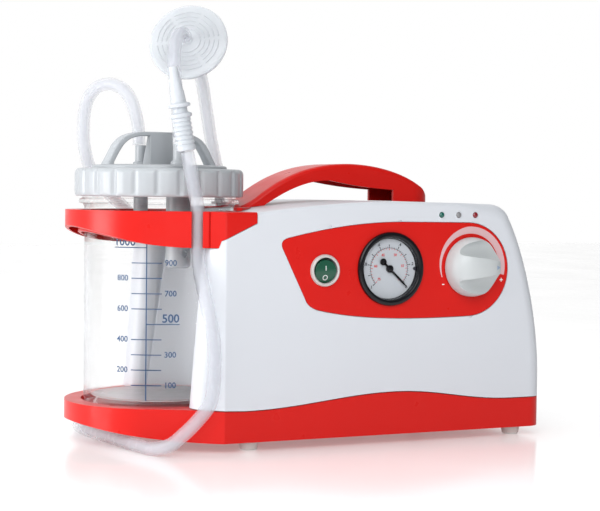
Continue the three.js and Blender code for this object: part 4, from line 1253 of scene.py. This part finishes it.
def switch():
    x, z = SWITCH
    bezel = facing([(9.4, -92), (9.6, -92.4), (10.4, -92.8), (11.2, -92.4), (11.7, -91.4), (11.8, -90.3),
                    (10.2, -90.3), (10.2, -74), (0.01, -74), (0.01, -76), (9.4, -76), (9.4, -92)], x, z, 72)
    place(bezel, "switch_frame", BEZEL, "knob_grey", "housing", ["switch_bezel"], 35)
    drum = rod_y(8.5, -8, 0, 0, 0, 64)

    def wedge(proud=0.0):
        side = [(1, -12), (1, 12), (-4.9 - proud, 8.6), (-5.9 - proud, 2.4), (-6.2 - proud, 0),
                (-5.9 - proud, -2.4), (-4.9 - proud, -8.6)]
        return from_rings([[(w, y, h) for y, h in side] for w in (-12, 12)])

    keep(drum, wedge())
    soften(drum, 0.5, 3)
    tilt = Matrix.Translation((x, -86, z)) @ Matrix.Rotation(math.radians(9), 4, "X")
    place(drum, "switch_rocker_green", GREEN, "green_plastic", "rocker", ["switch_rocker"], 35, tilt)
    bar = slab(oblong(-0.28, 0.28, 0.9, 4.4), -8, -5)
    ring = facing([(1.5, -8), (2, -8), (2, -4.5), (1.5, -4.5), (1.5, -8)], 0, -4.4, 32)
    marks = keep(gather(bar, ring), wedge(0.06))
    place(marks, "switch_marks", INK_WHITE, "green_plastic", "rocker", turn=tilt)


KNOB_DOME = [(22.5, -93), (22.2, -95.4), (21.5, -98.4), (20.5, -101), (18.8, -103.7), (16.4, -105.9),
             (13.4, -107.5), (9.6, -108.7), (5, -109.3), (0.01, -109.5)]


def knob():
    """Domed cap with two scoops that deepen to the right and leave a narrowing rib between them."""
    move = Matrix.Translation((KNOB[0], 0, KNOB[1]))
    dome = facing([(3.9, -80), (3.9, -90.5), (22.1, -90.6), (22.5, -91)] + KNOB_DOME)
    for side in (1, -1):
        rings = []
        for k in range(13):
            share = k / 12
            floor, edge, r = -101.5 + 8.5 * share, 9.6 - 5.8 * share, 4 + 7 * share
            section = arc(0, 0, r, 0, 180, 32) + [(-r, -30), (r, -30)]
            rings.append([(-17.5 + 42.5 * share, floor - r + b, side * (edge + r) + a) for a, b in section])
        cut(dome, from_rings(rings))
    soften(dome, 0.7, 3, 25)
    place(dome, "knob_cap", KNOB_GREY, "knob_grey", "knob", ["regulator_knob"], 40, move)
    raised = facing([(22.6, -93)] + [(r, y - 0.1) for r, y in KNOB_DOME])
    arrow = keep(slab([(13.2, -1.7), (13.2, 1.7), (17.6, 0)], -115, -104), raised)
    place(arrow, "knob_arrow", MARK_BLUE, "knob_grey", "knob", angle=40, turn=move)


def panel_marks():
    """Crescent that widens from the low to the high setting, with a minus and a plus sign."""
    face = (*KNOB, -90.18)
    inner = arc(0, 0, 25.3, 197, -12, 60)
    outer = []
    for k in range(61):
        share = k / 60
        angle = math.radians(-12 + 209 * share)
        wide = min(1.0, (1 - share) / 0.49)
        r = 26 + 4.6 * wide
        outer.append((r * math.cos(angle), r * math.sin(angle)))
    crescent = plate(inner + outer, 0, SIGN)
    minus = box(-24.5, -22.5, -13.4, -12.7, 0, SIGN)
    plus = weld(box(26.3, 29.1, -10.5, -9.8, 0, SIGN), box(27.35, 28.05, -11.55, -8.75, 0, SIGN))
    place(on_front(crescent, *face), "suction_crescent", MARK_PINK, "red_plastic", "housing")
    place(on_front(gather(minus, plus), *face), "suction_signs", INK_WHITE, "red_plastic", "housing")


gauge()
dial_print()
needle()
switch()
knob()
panel_marks()

# ---- small pieces

def lamps():
    for name, x in LEDS.items():
        made = facing([(2.3, -82), (2.3, -89.8), (2.1, -90.5), (1.5, -91), (0.8, -91.2), (0.01, -91.25)],
                      x, LED_Z, 40)
        place(made, name + "_lens", LED_LOOKS[name], name + "_lens", "housing", [name], 50)
        seat = facing([(2.3, -90.25), (2.4, -90.3), (2.9, -90.2), (3, -89.9), (2.3, -89.9), (2.3, -90.25)],
                      x, LED_Z, 40)
        place(seat, name + "_seat", WHITE, "white_plastic", "housing")


CORNERS = ("front_left", "front_right", "rear_left", "rear_right")


def feet():
    for corner in CORNERS:
        name = "foot_" + corner
        low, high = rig.box(name)
        x, y = ((a + b) / 2 * 1000 for a, b in zip(low.xy, high.xy))
        made = turned([(0.01, 0), (5, 0), (5.8, 0.3), (6.4, 1.1), (7.5, 6.4), (7.4, 6.7), (0.01, 6.7)],
                      (x, y - MID_Y, 0), sides=48)
        place(made, name + "_pad", RUBBER, "foot_rubber", "housing", [name], 40)


lamps()
feet()

for names, look in (
    (("rear_vent_grille",), WHITE),
    (("power_socket", "fuse_holder", "battery", "battery_strap"), BLACK),
    (("pump_motor", "pump_crank", *("case_screw_" + corner for corner in CORNERS)), STEEL),
    (("pump_frame", "pump_piston_rod", "pump_cylinder", "pump_head", "regulator_valve"), ALLOY),
    (("circuit_board",), BOARD),
    (("gauge_line", "suction_line"), SILICONE),
    (("lid_gasket",), DARK_RUBBER),
    (("inlet_nozzle",), LID),
):
    for name in names:
        paint(frame["nodes"][name], look)

# ---- floor, light and background

def backdrop():
    """White wherever it is seen, but its light is strongest from behind and from the left."""
    world = bpy.data.worlds.new("studio")
    world.use_nodes = True
    tree = world.node_tree
    background = tree.nodes["Background"]
    background.inputs["Color"].default_value = (1, 1, 1, 1)
    direction = tree.nodes.new("ShaderNodeTexCoord")
    towards = tree.nodes.new("ShaderNodeVectorMath")
    towards.operation = "DOT_PRODUCT"
    towards.inputs[1].default_value = (-0.6, 0.8, 0)
    tree.links.new(direction.outputs["Generated"], towards.inputs[0])
    strength = smooth_range(tree, towards.outputs["Value"], (-0.5, 0.5, 0.12, 1.0))
    seen = tree.nodes.new("ShaderNodeLightPath")
    either = tree.nodes.new("ShaderNodeMath")
    either.operation = "MAXIMUM"
    tree.links.new(strength, either.inputs[0])
    tree.links.new(seen.outputs["Is Camera Ray"], either.inputs[1])
    tree.links.new(either.outputs["Value"], background.inputs["Strength"])
    bpy.context.scene.world = world


def studio():
    floor = new_object("floor", [(-4, -4, 0), (4, -4, 0), (4, 4, 0), (-4, 4, 0)], [(0, 1, 2, 3)])
    look = Nodes("floor")
    look.put(Base_Color=(0.86, 0.86, 0.86, 1), Specular_IOR_Level=0.6, Emission_Color=(1, 1, 1, 1),
             Emission_Strength=0.2)
    look.gloss(6.0, 0.14, 0.2)
    floor.data.materials.append(look.material)
    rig.stage(floor)
    target = Vector((0, 0, 0.12))
    for name, place_at, size, power in (
        ("key", (-0.5, -1.52, 0.95), 1.3, 21.5),
        ("near", (-0.6, -0.62, 0.55), 0.4, 0.8),
        ("side", (-1.15, 0.05, 0.2), 0.5, 7),
        ("top", (-0.2, 0.3, 1.7), 1.2, 5),
    ):
        data = bpy.data.lights.new(name, "AREA")
        data.size = size
        data.energy = power
        lamp = show(name, data)
        lamp.location = place_at
        lamp.rotation_euler = (target - Vector(place_at)).to_track_quat("-Z", "Y").to_euler()
    bpy.context.scene.view_settings.view_transform = "Standard"


backdrop()
studio()

with open("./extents.json", "w") as sizes:
    json.dump({"cad": [list(corner) for corner in cad_box],
               "visual": [list(corner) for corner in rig.bounds()]}, sizes)
